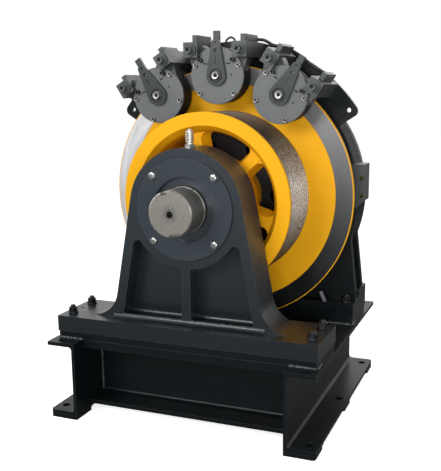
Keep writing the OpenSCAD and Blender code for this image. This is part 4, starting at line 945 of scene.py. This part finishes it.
class PathRepeat:
    """A geometry tree that repeats a small form along the edges of a mesh."""

    seed: int = 7

    def __init__(self) -> None:
        """Builds the tree and remembers its sockets."""
        self.tree = bpy.data.node_groups.new("repeat_along_path", "GeometryNodeTree")
        self.socket("Geometry", "NodeSocketGeometry")
        self.pitch = self.socket("Pitch", FLOAT)
        self.size = self.socket("Size", VECTOR)
        self.uneven = self.socket("Unevenness", FLOAT)
        self.material = self.socket("Finish", "NodeSocketMaterial")
        self.socket("Geometry", "NodeSocketGeometry", "OUTPUT")
        t = Tree(self.tree)
        given = t.add("NodeGroupInput").outputs
        curve = t.put(t.add("GeometryNodeMeshToCurve"), Mesh=given["Geometry"])
        even = t.put(t.add("GeometryNodeResampleCurve", mode="LENGTH"), Curve=curve[0],
                     Length=given["Pitch"])
        scale = t.add("FunctionNodeRandomValue", data_type="FLOAT")
        lowest, highest = [socket for socket in scale.inputs if socket.type == "VALUE"][:2]
        t.feed(lowest, t.maths("SUBTRACT", 1.0, given["Unevenness"]))
        t.feed(highest, t.maths("ADD", 1.0, given["Unevenness"]))
        factors = [socket for socket in t.put(scale, Seed=self.seed) if socket.type == "VALUE"]
        ball = t.put(t.add("GeometryNodeMeshIcoSphere"), Radius=1.0, Subdivisions=3)
        grown = t.put(t.add("ShaderNodeVectorMath", operation="SCALE"), Vector=given["Size"],
                      Scale=factors[0])
        tangent = t.add("GeometryNodeInputTangent").outputs[0]
        align = t.put(t.add("FunctionNodeAlignRotationToVector", axis="Z"), Vector=tangent)
        copies = t.put(t.add("GeometryNodeInstanceOnPoints"), Points=even[0],
                       Instance=ball["Mesh"], Rotation=align[0], Scale=grown[0])
        real = t.put(t.add("GeometryNodeRealizeInstances"), Geometry=copies[0])
        rounded = t.put(t.add("GeometryNodeSetShadeSmooth"), Geometry=real[0])
        paint = t.put(t.add("GeometryNodeSetMaterial"), Geometry=rounded[0],
                      Material=given["Finish"])
        t.put(t.add("NodeGroupOutput"), Geometry=paint[0])

    def socket(self, label: str, kind: str, side: str = "INPUT") -> str:
        """Adds a socket to the tree's interface and returns its identifier."""
        made = self.tree.interface.new_socket(label, in_out=side, socket_type=kind)
        return made.identifier

    def run(self, bead: Bead, paths: Sequence[Path],
            material: bpy.types.Material) -> bpy.types.Mesh:
        """Repeats the form along some paths and returns the real mesh.

        Args:
            bead: The form, its sizes and its spacing.
            paths: Points of each path, in machine coordinates.
            material: Its material.

        Returns:
            The finished mesh.
        """
        mesh = bpy.data.meshes.new(f"{bead.name}_path")
        points, edges = [], []
        for path in paths:
            edges += [(len(points) + i, len(points) + i + 1) for i in range(len(path) - 1)]
            points += path
        mesh.from_pydata(points, edges, [])
        holder = bpy.data.objects.new(f"{bead.name}_path", mesh)
        bpy.context.scene.collection.objects.link(holder)
        modifier = holder.modifiers.new("repeat", "NODES")
        modifier.node_group = self.tree
        modifier[self.pitch] = bead.pitch
        modifier[self.size] = bead.size
        modifier[self.uneven] = bead.uneven
        modifier[self.material] = material
        graph = bpy.context.evaluated_depsgraph_get()
        result = bpy.data.meshes.new_from_object(holder.evaluated_get(graph))
        result.name = bead.name
        bpy.data.objects.remove(holder)
        bpy.data.meshes.remove(mesh)
        return result


# ---- machine


class Machine:
    """What every sub-assembly shares: the paintshop, the path tree and the bodies."""

    def __init__(self) -> None:
        """Reads which body each solid rides on."""
        self.shop = Paintshop()
        self.repeat = PathRepeat()
        bodies = frame["record"]["behaviour"]["bodies"]
        self.body_of = {node: body for body, nodes in bodies.items() for node in nodes}

    def add(self, name: str, mesh: bpy.types.Mesh, finishes: Sequence[Finish], body: str,
            stands_for: Sequence[str] = ()) -> bpy.types.Object:
        """Turns a mesh into a finished piece of the machine.

        Args:
            name: The piece's name.
            mesh: Its mesh, in machine coordinates.
            finishes: Its finishes, in the order of the material indices.
            body: The body it rides on.
            stands_for: The solids it replaces.

        Returns:
            The new object.
        """
        piece = bpy.data.objects.new(name, mesh)
        bpy.context.scene.collection.objects.link(piece)
        kept = [face.material_index for face in mesh.polygons]
        mesh.materials.clear()
        for finish in finishes:
            mesh.materials.append(self.shop.material(finish))
        mesh.polygons.foreach_set("material_index", kept)
        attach(piece, body)
        if stands_for:
            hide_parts(*stands_for)
        LOG.info("%s: %d faces on %s", name, len(mesh.polygons), body)
        return piece

    def dress(self, job: Dress) -> None:
        """Makes the finished copy of a solid: joined faces, broken edges, zones of finish.

        Args:
            job: What to do with which solid.
        """
        name = f"{job.node}_finished"
        mesh = frame["nodes"][job.node].data.copy()
        mesh.name = name
        work = bmesh.new()
        work.from_mesh(mesh)
        bmesh.ops.remove_doubles(work, verts=work.verts, dist=MERGED)
        work.to_mesh(mesh)
        work.free()
        for index, zone in enumerate(job.zones, 1):
            for face in mesh.polygons:
                if zone.holds(face):
                    face.material_index = index
        mesh.shade_smooth()
        mesh.set_sharp_from_angle(angle=math.radians(job.sharp))
        finishes = [job.finish] + [zone.finish for zone in job.zones]
        piece = self.add(name, mesh, finishes, self.body_of[job.node], [job.node])
        if job.edge:
            bevel = piece.modifiers.new("broken_edges", "BEVEL")
            bevel.width = job.edge
            bevel.segments = 2
            bevel.limit_method = "ANGLE"
            bevel.angle_limit = math.radians(job.sharp + BEVEL_OVER)
            bevel.miter_outer = "MITER_ARC"
        flats = piece.modifiers.new("even_flats", "WEIGHTED_NORMAL")
        flats.mode = "FACE_AREA"
        flats.weight = 100
        flats.keep_sharp = True

    def make(self, name: str, shape: Shape, finishes: Sequence[Finish], *stands_for: str,
             body: str = STILL) -> None:
        """Closes a shape and adds it as a piece."""
        self.add(name, shape.finish(name), finishes, body, stands_for)

    def seam(self, bead: Bead, paths: Sequence[Path]) -> None:
        """Lays a bead along some paths, as a piece that stands still."""
        mesh = self.repeat.run(bead, paths, self.shop.material(bead.finish))
        self.add(bead.name, mesh, [bead.finish], STILL)


# ---- sub-assemblies


@dataclass
class SubAssembly:
    """Base of the machine's sub-assemblies.

    Attributes:
        machine: The shared machine it is built on.
        jobs: The solids that are only dressed.
    """

    machine: Machine
    jobs: tuple[Dress, ...] = ()

    def build(self) -> None:
        """Dresses each solid of the sub-assembly."""
        for job in self.jobs:
            self.machine.dress(job)


@dataclass
class BaseFrame(SubAssembly):
    """Welded frame of two channels and two cross beams on six foot pads."""

    jobs: tuple[Dress, ...] = (
        Dress("left_side_channel", FRAME, 0.0012), Dress("right_side_channel", FRAME, 0.0012),
        Dress("front_cross_beam", FRAME, 0.0012), Dress("rear_cross_beam", FRAME, 0.0012),
        Dress("foot_pads", FRAME, 0.001), Dress("front_packing_plate", FRAME, 0.001),
        Dress("rear_packing_plate", FRAME, 0.001),
    )
    pad_ends: tuple[float, ...] = (-0.29, -0.04, 0.04, 0.29)  # Y of the seams
    pad_x: float = 0.3165
    pad_inset: float = 0.0015
    pad_top: float = 0.0125
    web_x: float = 0.3145
    web_t: float = 0.010
    beam_ends: Point2 = (0.013, 0.026)  # how far a seam ends from the beam's foot and top
    plate_x: Point2 = (0.318, 0.389)
    plate_y: Point2 = (0.006, 0.040)  # from the plate's front edge
    plate_lift: Point2 = (0.0005, 0.0010)  # of the seams along a plate and at its side
    plate_inset: float = 0.0005
    frame_bead: Bead = Bead("frame_weld_seams", WELD, 0.0034, (0.0040, 0.0040, 0.0027), 0.18)
    plate_bead: Bead = Bead("plate_weld_seams", WELD, 0.0046, (0.0048, 0.0048, 0.0038), 0.30)

    def build(self) -> None:
        """Dresses the frame and runs its weld seams."""
        super().build()
        self.machine.seam(self.frame_bead, self.pad_seams() + self.beam_seams())
        self.machine.seam(self.plate_bead, self.plate_seams())

    def pad_seams(self) -> list[Path]:
        """Gives the seams where the channels stand on their foot pads.

        Returns:
            The ends of each seam.
        """
        _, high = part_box("foot_pads")
        outer = high[0] - self.pad_inset
        return [[(side * self.pad_x, y, self.pad_top), (side * outer, y, self.pad_top)]
                for side in (-1, 1) for y in self.pad_ends]

    def beam_seams(self) -> list[Path]:
        """Gives the upright seams between the beam webs and the channel webs.

        Returns:
            The ends of each seam.
        """
        foot, top = self.beam_ends
        seams = []
        for beam, side in (("front_cross_beam", 1), ("rear_cross_beam", -1)):
            low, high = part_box(beam)
            web = high[1] if side > 0 else low[1]
            seams += [[(x, y, low[2] + foot), (x, y, high[2] - top)]
                      for x in (-self.web_x, self.web_x) for y in (web, web - side * self.web_t)]
        return seams

    def plate_seams(self) -> list[Path]:
        """Gives the seams between the packing plates and the channel tops.

        Returns:
            The ends of each seam.
        """
        seams = []
        for plate in ("front_packing_plate", "rear_packing_plate"):
            low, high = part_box(plate)
            along, across = (low[2] + lift for lift in self.plate_lift)
            for side in (-1, 1):
                edge = side * (high[0] - self.plate_inset)
                seams += [[(side * x, y, along) for x in self.plate_x] for y in (low[1], high[1])]
                seams.append([(edge, low[1] + y, across) for y in self.plate_y])
        return seams


@dataclass
class Pedestals(SubAssembly):
    """Front and rear castings with their covers and bolts."""

    jobs: tuple[Dress, ...] = (
        Dress("front_pedestal", DARK, 0.002), Dress("rear_pedestal", FRAME, 0.0016),
        Dress("support_stud", STUD, 0.0008), Dress("front_inner_cover", DARK, 0.0006),
        Dress("rear_bearing_cover", COVER, 0.0007), Dress("front_shaft_seal", RUBBER, 0.0004),
        Dress("encoder", PLASTIC, 0.0008),
    )
    cover_edge: float = 0.0012  # how far in from its rim the front cover is near-black, as painted shade at its gap
    cover_gap: float = 0.0009  # how far behind the cover's face its shadow gap lies
    cover_bead: Bead = Bead("cover_seam_painted_shadow", PIT, 0.0040, (0.0008, 0.0008, 0.0024), 0.35)
    bolt_x: float = 0.368
    bolt_y: tuple[float, ...] = (-0.281, -0.176, 0.104, 0.190)
    bolt_flats: float = 0.0241
    bolt_foot: Profile = ((0.0118, 0.2106), (0.0134, 0.2112), (0.0134, 0.2120))
    bolt_head: Point2 = (-0.2210, -0.2112)  # under the flange, so upside down
    bolt_shank: Profile = ((0.0077, 0.2205), (0.0077, 0.3000))
    bolt_washer: Profile = ((0.0150, 0.2980), (0.0152, 0.2984), (0.0152, 0.3006),
                            (0.0149, 0.3010), (0.0080, 0.3010))
    bolt_nut: Point2 = (0.3010, 0.3154)
    bolt_end: Point2 = (0.3100, 0.3220)
    cover_reach: float = 0.1288  # radius of the circle of cover bolts
    cover_angles: tuple[int, ...] = (45, 135, 225, 315)
    cover_spin: int = 11  # each bolt is turned by this more than the last, in degrees
    cover_faces: Point2 = (-0.2820, 0.2880)
    cover_parts: tuple[Profile, ...] = (  # shank, washer and tip of a bolt
        ((0.0060, -0.0200), (0.0060, 0.0002)),
        ((0.0088, 0.0), (0.0090, 0.0004), (0.0090, 0.0008), (0.0086, 0.0010)),
        ((0.0062, 0.0074), (0.0058, 0.00756), (0.0030, 0.00756)),
    )
    cover_head: Point3 = (0.0180, 0.0008, 0.0075)  # flats, foot and top
    nipple_foot: Profile = ((0.0050, 0.0), (0.0050, 0.0130))
    nipple_head: Point3 = (0.0262, 0.0120, 0.0200)
    nipple_neck: Profile = ((0.0090, 0.0195), (0.0090, 0.0240), (0.0106, 0.0256))
    nipple_tip: Profile = ((0.0100, 0.0560), (0.0060, 0.0580), (0.0060, 0.0600), (0.0048, 0.0610))
    rib: Profile = ((0.0104, 0.0262), (0.0118, 0.0270), (0.0118, 0.0292), (0.0104, 0.0300))
    rib_pitch: float = 0.0046
    ribs: int = 6

    def build(self) -> None:
        """Dresses the castings and makes their bolts."""
        super().build()
        low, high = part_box("front_bearing_cover")
        rim = (high[0] - low[0]) / 2
        # painted shade: the cover's rim is near-black where it meets the housing
        dark = Zone(PIT, radius=(rim - self.cover_edge, rim + 0.01))
        self.machine.dress(Dress("front_bearing_cover", COVER, 0.0004, (dark,)))
        # painted shadow: a row of near-black beads along the cover's gap
        points = 120
        turns = [math.tau * k / points for k in range(points + 1)]
        gap = [(rim * math.sin(turn), low[1] + self.cover_gap, AXIS_Z + rim * math.cos(turn))
               for turn in turns]
        self.machine.seam(self.cover_bead, [gap])
        self.pedestal_bolts()
        self.cover_bolts()
        self.nipple()

    def nipple(self) -> None:
        """Makes the grease nipple: a hexagon foot under a ribbed sleeve."""
        shape = Shape()
        low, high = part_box("grease_nipple")
        place = upward((low[0] + high[0]) / 2, (low[1] + high[1]) / 2, low[2])
        shape.turned(place, self.nipple_foot)
        shape.hexagon(place, *self.nipple_head, 1)
        ribs = tuple((r, z + self.rib_pitch * k) for k in range(self.ribs) for r, z in self.rib)
        shape.turned(place, self.nipple_neck + ribs + self.nipple_tip)
        self.machine.make("grease_nipple_finished", shape, [STEEL, BOLT], "grease_nipple")

    def pedestal_bolts(self) -> None:
        """Makes the eight bolts that hold the pedestals on the frame."""
        shape = Shape()
        for x in (-self.bolt_x, self.bolt_x):
            for y in self.bolt_y:
                place = upward(x, y, 0.0)
                mirrored = place @ Matrix.Scale(-1, 4, (0, 0, 1))
                shape.turned(place, self.bolt_foot)
                shape.hexagon(mirrored, self.bolt_flats, *self.bolt_head)
                shape.turned(place, self.bolt_shank)
                shape.turned(place, self.bolt_washer)
                shape.hexagon(place, self.bolt_flats, *self.bolt_nut)
                shape.thread(place, *M16, *self.bolt_end)
        self.machine.make("pedestal_bolts_finished", shape, [BLACK_BOLT], "pedestal_bolts")

    def cover_bolts(self) -> None:
        """Makes the hexagon bolts of the two bearing covers."""
        shape = Shape()
        shank, washer, tip = self.cover_parts
        front, rear = self.cover_faces
        for k, angle in enumerate(self.cover_angles):
            turn, spin = math.radians(angle), math.radians(self.cover_spin * k)
            x = self.cover_reach * math.sin(turn)
            z = AXIS_Z + self.cover_reach * math.cos(turn)
            for place in (forward(x, front, z, spin), flipped(forward(x, rear, z, spin))):
                shape.turned(place, shank)
                shape.turned(place, washer)
                shape.hexagon(place, *self.cover_head)
                shape.turned(place, tip)
        self.machine.make("cover_bolts_finished", shape, [BOLT], "cover_bolts")


@dataclass
class RotatingLine(SubAssembly):
    """Shaft, sheave, brake disc and rotor."""

    jobs: tuple[Dress, ...] = (
        # painted shade: the centre hole in the shaft's end is near-black
        Dress("main_shaft", SHAFT, 0.0006,
              (Zone(PIT, radius=(0.0, 0.0088), along=(-0.366, -0.34)),)),
        Dress("traction_sheave", YELLOW, 0.0008,
              (Zone(GROOVE, radius=(0.2455, 0.2572), along=(-0.1262, 0.0635)),)),
        Dress("brake_disc", YELLOW, 0.0007, (Zone(TRACK, radius=(0.3388, 0.3925)),)),
        # painted shade: the rotor drum behind the spokes is near-black, as it lies in shadow
        Dress("rotor_drum", PIT, 0.0006),
    )
    spokes: int = 6
    spoke_turn: float = -12.5
    spoke_ends: tuple[Point2, Point2] = ((-0.0985, 0.0166), (-0.0585, 0.0284))  # Y, half width
    fillets: tuple[Point2, Point2] = ((0.203, 0.020), (-0.138, 0.012))  # wall, corner radius
    sunk: float = 0.0015  # how far a corner's filling reaches into the spoke and the wall
    rim_paint: Point2 = (0.0022, 0.0002)  # inside and over the disc's rim
    paint_depth: Point2 = (0.0008, 0.0002)  # behind and before the disc's face

    def build(self) -> None:
        """Dresses the rotating parts, rounds the spokes' corners and paints the disc's rim."""
        super().build()
        shape = Shape()
        for k in range(self.spokes):
            turn = math.radians(self.spoke_turn + k * 360 / self.spokes)
            place = upward(0.0, 0.0, AXIS_Z) @ Matrix.Rotation(turn, 4, "Y")
            for side in (-1, 1):
                for wall, radius in self.fillets:
                    shape.skin(place, [self.corner(y, half, side, wall, radius)
                                       for y, half in self.spoke_ends])
        self.machine.make("sheave_corners", shape, [YELLOW], body="rotor")
        low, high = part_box("brake_disc")
        rim = (high[0] - low[0]) / 2
        inside, over = self.rim_paint
        behind, before = self.paint_depth
        paint = Shape()
        paint.hoop(forward(0.0, 0.0, AXIS_Z), rim - inside, rim + over, -low[1] - behind,
                   -low[1] + before)
        self.machine.make("disc_rim_paint", paint, [YELLOW], body="rotor")

    def corner(self, y: float, half: float, side: int, wall: float, radius: float) -> list[Vector]:
        """Outlines the filling of the corner between a spoke and a round wall.

        Args:
            y: Where along the shaft this outline lies.
            half: Half the spoke's width there.
            side: Which side of the spoke, -1 or 1.
            wall: The wall's radius, negative where the spoke stands on its outside.
            radius: Radius of the corner.

        Returns:
            The outline's points.
        """
        x = half + radius
        z = math.sqrt((wall - radius) ** 2 - x * x)
        away = math.atan2(z, x)
        last = away if wall > 0 else math.pi + away
        steps = 8
        turns = [math.pi + (last - math.pi) * k / steps for k in range(steps + 1)]
        arc = [(x + radius * math.cos(turn), z + radius * math.sin(turn)) for turn in turns]
        deep = abs(wall) + math.copysign(self.sunk, wall)
        edge = half - self.sunk
        arc += [(deep * math.cos(away), deep * math.sin(away)),
                (edge, math.sqrt(deep ** 2 - edge ** 2)), (edge, z)]
        return [Vector((side * point[0], y, point[1])) for point in arc]


@dataclass
class Motor(SubAssembly):
    """Stator, brake carrier and terminal box."""

    jobs: tuple[Dress, ...] = (
        Dress("stator_frame", FRAME, 0.0008), Dress("brake_carrier", FRAME, 0.0012),
        Dress("terminal_box", BLOCK, 0.0012), Dress("cable_sleeves", GLAND, 0.0004),
        Dress("stator_core", CORE, 0.0), Dress("stator_windings", COPPER, 0.0),
    )


@dataclass
class Brakes(SubAssembly):
    """Three disc brakes with their hand releases."""

    jobs: tuple[Dress, ...] = (
        Dress("brake_switch_boxes", BLOCK, 0.0008), Dress("fixed_linings", LINING, 0.0006),
        Dress("switch_cable", RUBBER, 0.0, sharp=60.0), Dress("coil_lead", RUBBER, 0.0, sharp=60.0),
    )
    shade: float = 0.0815  # radius of the round body in near-black: its dark paint, darkened further as painted shade
    well: float = 0.0822  # radius of the near-black ring round a cover's foot: painted shade where the cover meets the body
    well_along: Point2 = (-0.0300, -0.0245)
    guide_at: Point2 = (0.076, 0.074)  # beside and over a brake's centre
    guide_spin: float = 0.4
    guide_shank: Profile = ((0.0078, -0.1480), (0.0078, 0.0600))
    guide_washer: Profile = ((0.0150, 0.0566), (0.0152, 0.0570), (0.0152, 0.0592),
                             (0.0149, 0.0596))
    guide_head: Head = (0.0115, 0.0099, 0.0590, 0.0706)
    guide_nut: Point3 = (0.0240, 0.1330, 0.1460)  # flats, foot and top
    guide_end: Point2 = (0.1440, 0.1480)
    spindle_tip: Point2 = (0.0080, 0.0372)
    spindle_ring: Profile = ((0.0194, 0.0361), (0.0194, 0.0369), (0.0170, 0.0370))
    spindle_washer: Profile = ((0.0164, 0.0362), (0.0164, 0.0387), (0.0160, 0.0391),
                               (0.0118, 0.0391))
    spindle_head: Point3 = (0.0110, 0.0100, 0.0382)  # radius, socket and foot
    screw_reach: float = 0.074
    screw_angles: tuple[int, ...] = (66, 134, 226, 294)
    screw_spin: int = 17  # a screw's own turn, as a multiple of its angle
    screw_shank: Profile = ((0.0040, 0.0126), (0.0040, 0.0310))
    screw_head: Head = (0.0065, 0.0072, 0.0306, 0.0386)
    stop_reach: float = 0.068
    stop_angles: Point2 = (-48.7, 48.7)
    stop_shank: Profile = ((0.0040, 0.0235), (0.0040, 0.0310))
    stop_head: Head = (0.0065, 0.0062, 0.0306, 0.0446)
    springs_round: int = 6
    spring_reach: float = 0.071
    spring_wire: Point3 = (0.0036, 0.0022, 3.5)  # coil radius, wire radius and turns
    route: tuple[tuple[str, int, int, int], ...] = (  # mm beside, along and over a brake's centre
        ("middle", 76, 94, 107), ("middle", 80, 103, 107), ("middle", 101, 107, 104),
        ("middle", 129, 107, 89), ("right", -104, 107, 101), ("right", -74, 107, 105),
        ("right", -38, 107, 105), ("right", 3, 107, 101), ("right", 40, 107, 102),
        ("right", 71, 103, 107), ("right", 76, 94, 107),
    )
    sleeve: Bead = Bead("cable_sleeve", RUBBER, 0.0036, (0.0051, 0.0051, 0.0015), 0.02)

    def build(self) -> None:
        """Dresses the three brakes one by one, then what they share."""
        for side, turn in BRAKES.items():
            centre = on_brake(turn, 0.0, BRAKE_RADIUS)
            # the round body and each cover's foot take the near-black finish: dark paint with
            # painted shade
            body = Zone(SHADE, radius=(0.0, self.shade), centre=centre)
            well = Zone(SHADE, radius=(0.0, self.well), along=self.well_along, centre=centre)
            self.machine.dress(Dress(f"{side}_brake_body", BLOCK, 0.0012, (body,)))
            self.machine.dress(Dress(f"{side}_brake_cover", COAT, 0.0006, (well,)))
            self.machine.dress(Dress(f"{side}_release_lever", LEVER, 0.0008))
            self.spindle(side, forward(centre[0], 0.0, centre[1], turn))
            self.machine.dress(Dress(f"{side}_armature", STEEL, 0.0006))
        self.guide_bolts()
        self.cover_screws()
        self.springs()
        self.cable_sleeve()
        super().build()

    def guide_bolts(self) -> None:
        """Makes the six guide bolts with their washers, socket heads and rear nuts."""
        shape = Shape()
        beside, over = self.guide_at
        for turn in BRAKES.values():
            for side in (-1, 1):
                x, z = on_brake(turn, beside * side, BRAKE_RADIUS + over)
                place = forward(x, 0.0, z, turn + self.guide_spin * side)
                shape.turned(place, self.guide_shank)
                shape.turned(place, self.guide_washer)
                shape.socket_head(place, *self.guide_head)
                shape.hexagon(flipped(place), *self.guide_nut)
                shape.thread(flipped(place), *M16, *self.guide_end)
        self.machine.make("guide_bolts_finished", shape, [BLOCK, PIT], "brake_guide_bolts")

    def spindle(self, side: str, place: Matrix) -> None:
        """Makes one release spindle with its sunk washer and socket head.

        Args:
            side: Which brake it belongs to.
            place: Where its line goes.
        """
        shape = Shape()
        low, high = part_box(f"{side}_release_spindle")
        radius, front = self.spindle_tip
        shape.turned(place, ((radius, -high[1]), (radius, front)))
        # painted shade: a thin near-black ring in the recess round the sunk washer
        shape.turned(place, self.spindle_ring, 2)
        shape.turned(place, self.spindle_washer, 3)
        shape.socket_head(place, *self.spindle_head, -low[1])
        self.machine.make(f"{side}_release_spindle_finished", shape, [BOLT, PIT, PIT, LEVER],
                          f"{side}_release_spindle", body=f"{side}_hand_release")

    def cover_screws(self) -> None:
        """Makes the bright screws of the covers and the black stop screws."""
        shape = Shape()
        for turn in BRAKES.values():
            for angle in self.screw_angles:
                x, z = round_brake(turn, self.screw_reach, angle)
                place = forward(x, 0.0, z, math.radians(self.screw_spin * angle))
                shape.turned(place, self.screw_shank, sides=24)
                shape.socket_head(place, *self.screw_head)
            for angle in self.stop_angles:
                x, z = round_brake(turn, self.stop_reach, angle)
                place = forward(x, 0.0, z, turn)
                shape.turned(place, self.stop_shank, 2, 24)
                shape.socket_head(place, *self.stop_head, 2)
        self.machine.make("cover_screws_finished", shape, [BOLT, PIT, BLACK_BOLT, PIT],
                          "brake_cover_screws")

    def springs(self) -> None:
        """Winds the six springs of each brake."""
        shape = Shape()
        low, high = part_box("brake_springs")
        step = 360 // self.springs_round
        for turn in BRAKES.values():
            for k in range(self.springs_round):
                x, z = round_brake(turn, self.spring_reach, step / 2 + step * k)
                shape.coil(forward(x, 0.0, z), *self.spring_wire, -high[1], -low[1])
        self.machine.make("brake_springs_finished", shape, [BLACK_BOLT], "brake_springs")

    def cable_sleeve(self) -> None:
        """Ribs the sleeve of the switch cable along its own line."""
        points = []
        for side, beside, along, over in self.route:
            x, z = on_brake(BRAKES[side], beside * MM, BRAKE_RADIUS + over * MM)
            points.append(Vector((x, along * MM, z)))
        self.machine.seam(self.sleeve, [[tuple(point) for point in smooth(points, 6)]])


SLOTS = {finish.slot: finish for finish in (DARK, YELLOW, COAT, STEEL, BOLT, BLACK_BOLT, BRASS,
                                            COPPER, CORE, LINING, PLASTIC, RUBBER)}


def main() -> None:
    """Builds the studio and the machine, in order."""
    logging.basicConfig(level=logging.INFO, format="%(message)s")
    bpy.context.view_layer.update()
    Studio().build()
    machine = Machine()
    slots = {part["node"]: part["material_slot"] for part in frame["record"]["subparts"]}
    for name, node in frame["nodes"].items():
        node.data.materials.clear()
        node.data.materials.append(machine.shop.material(SLOTS[slots[name]]))
    for part in (BaseFrame, Pedestals, RotatingLine, Motor, Brakes):
        part(machine).build()


if __name__ == "__main__":
    main()
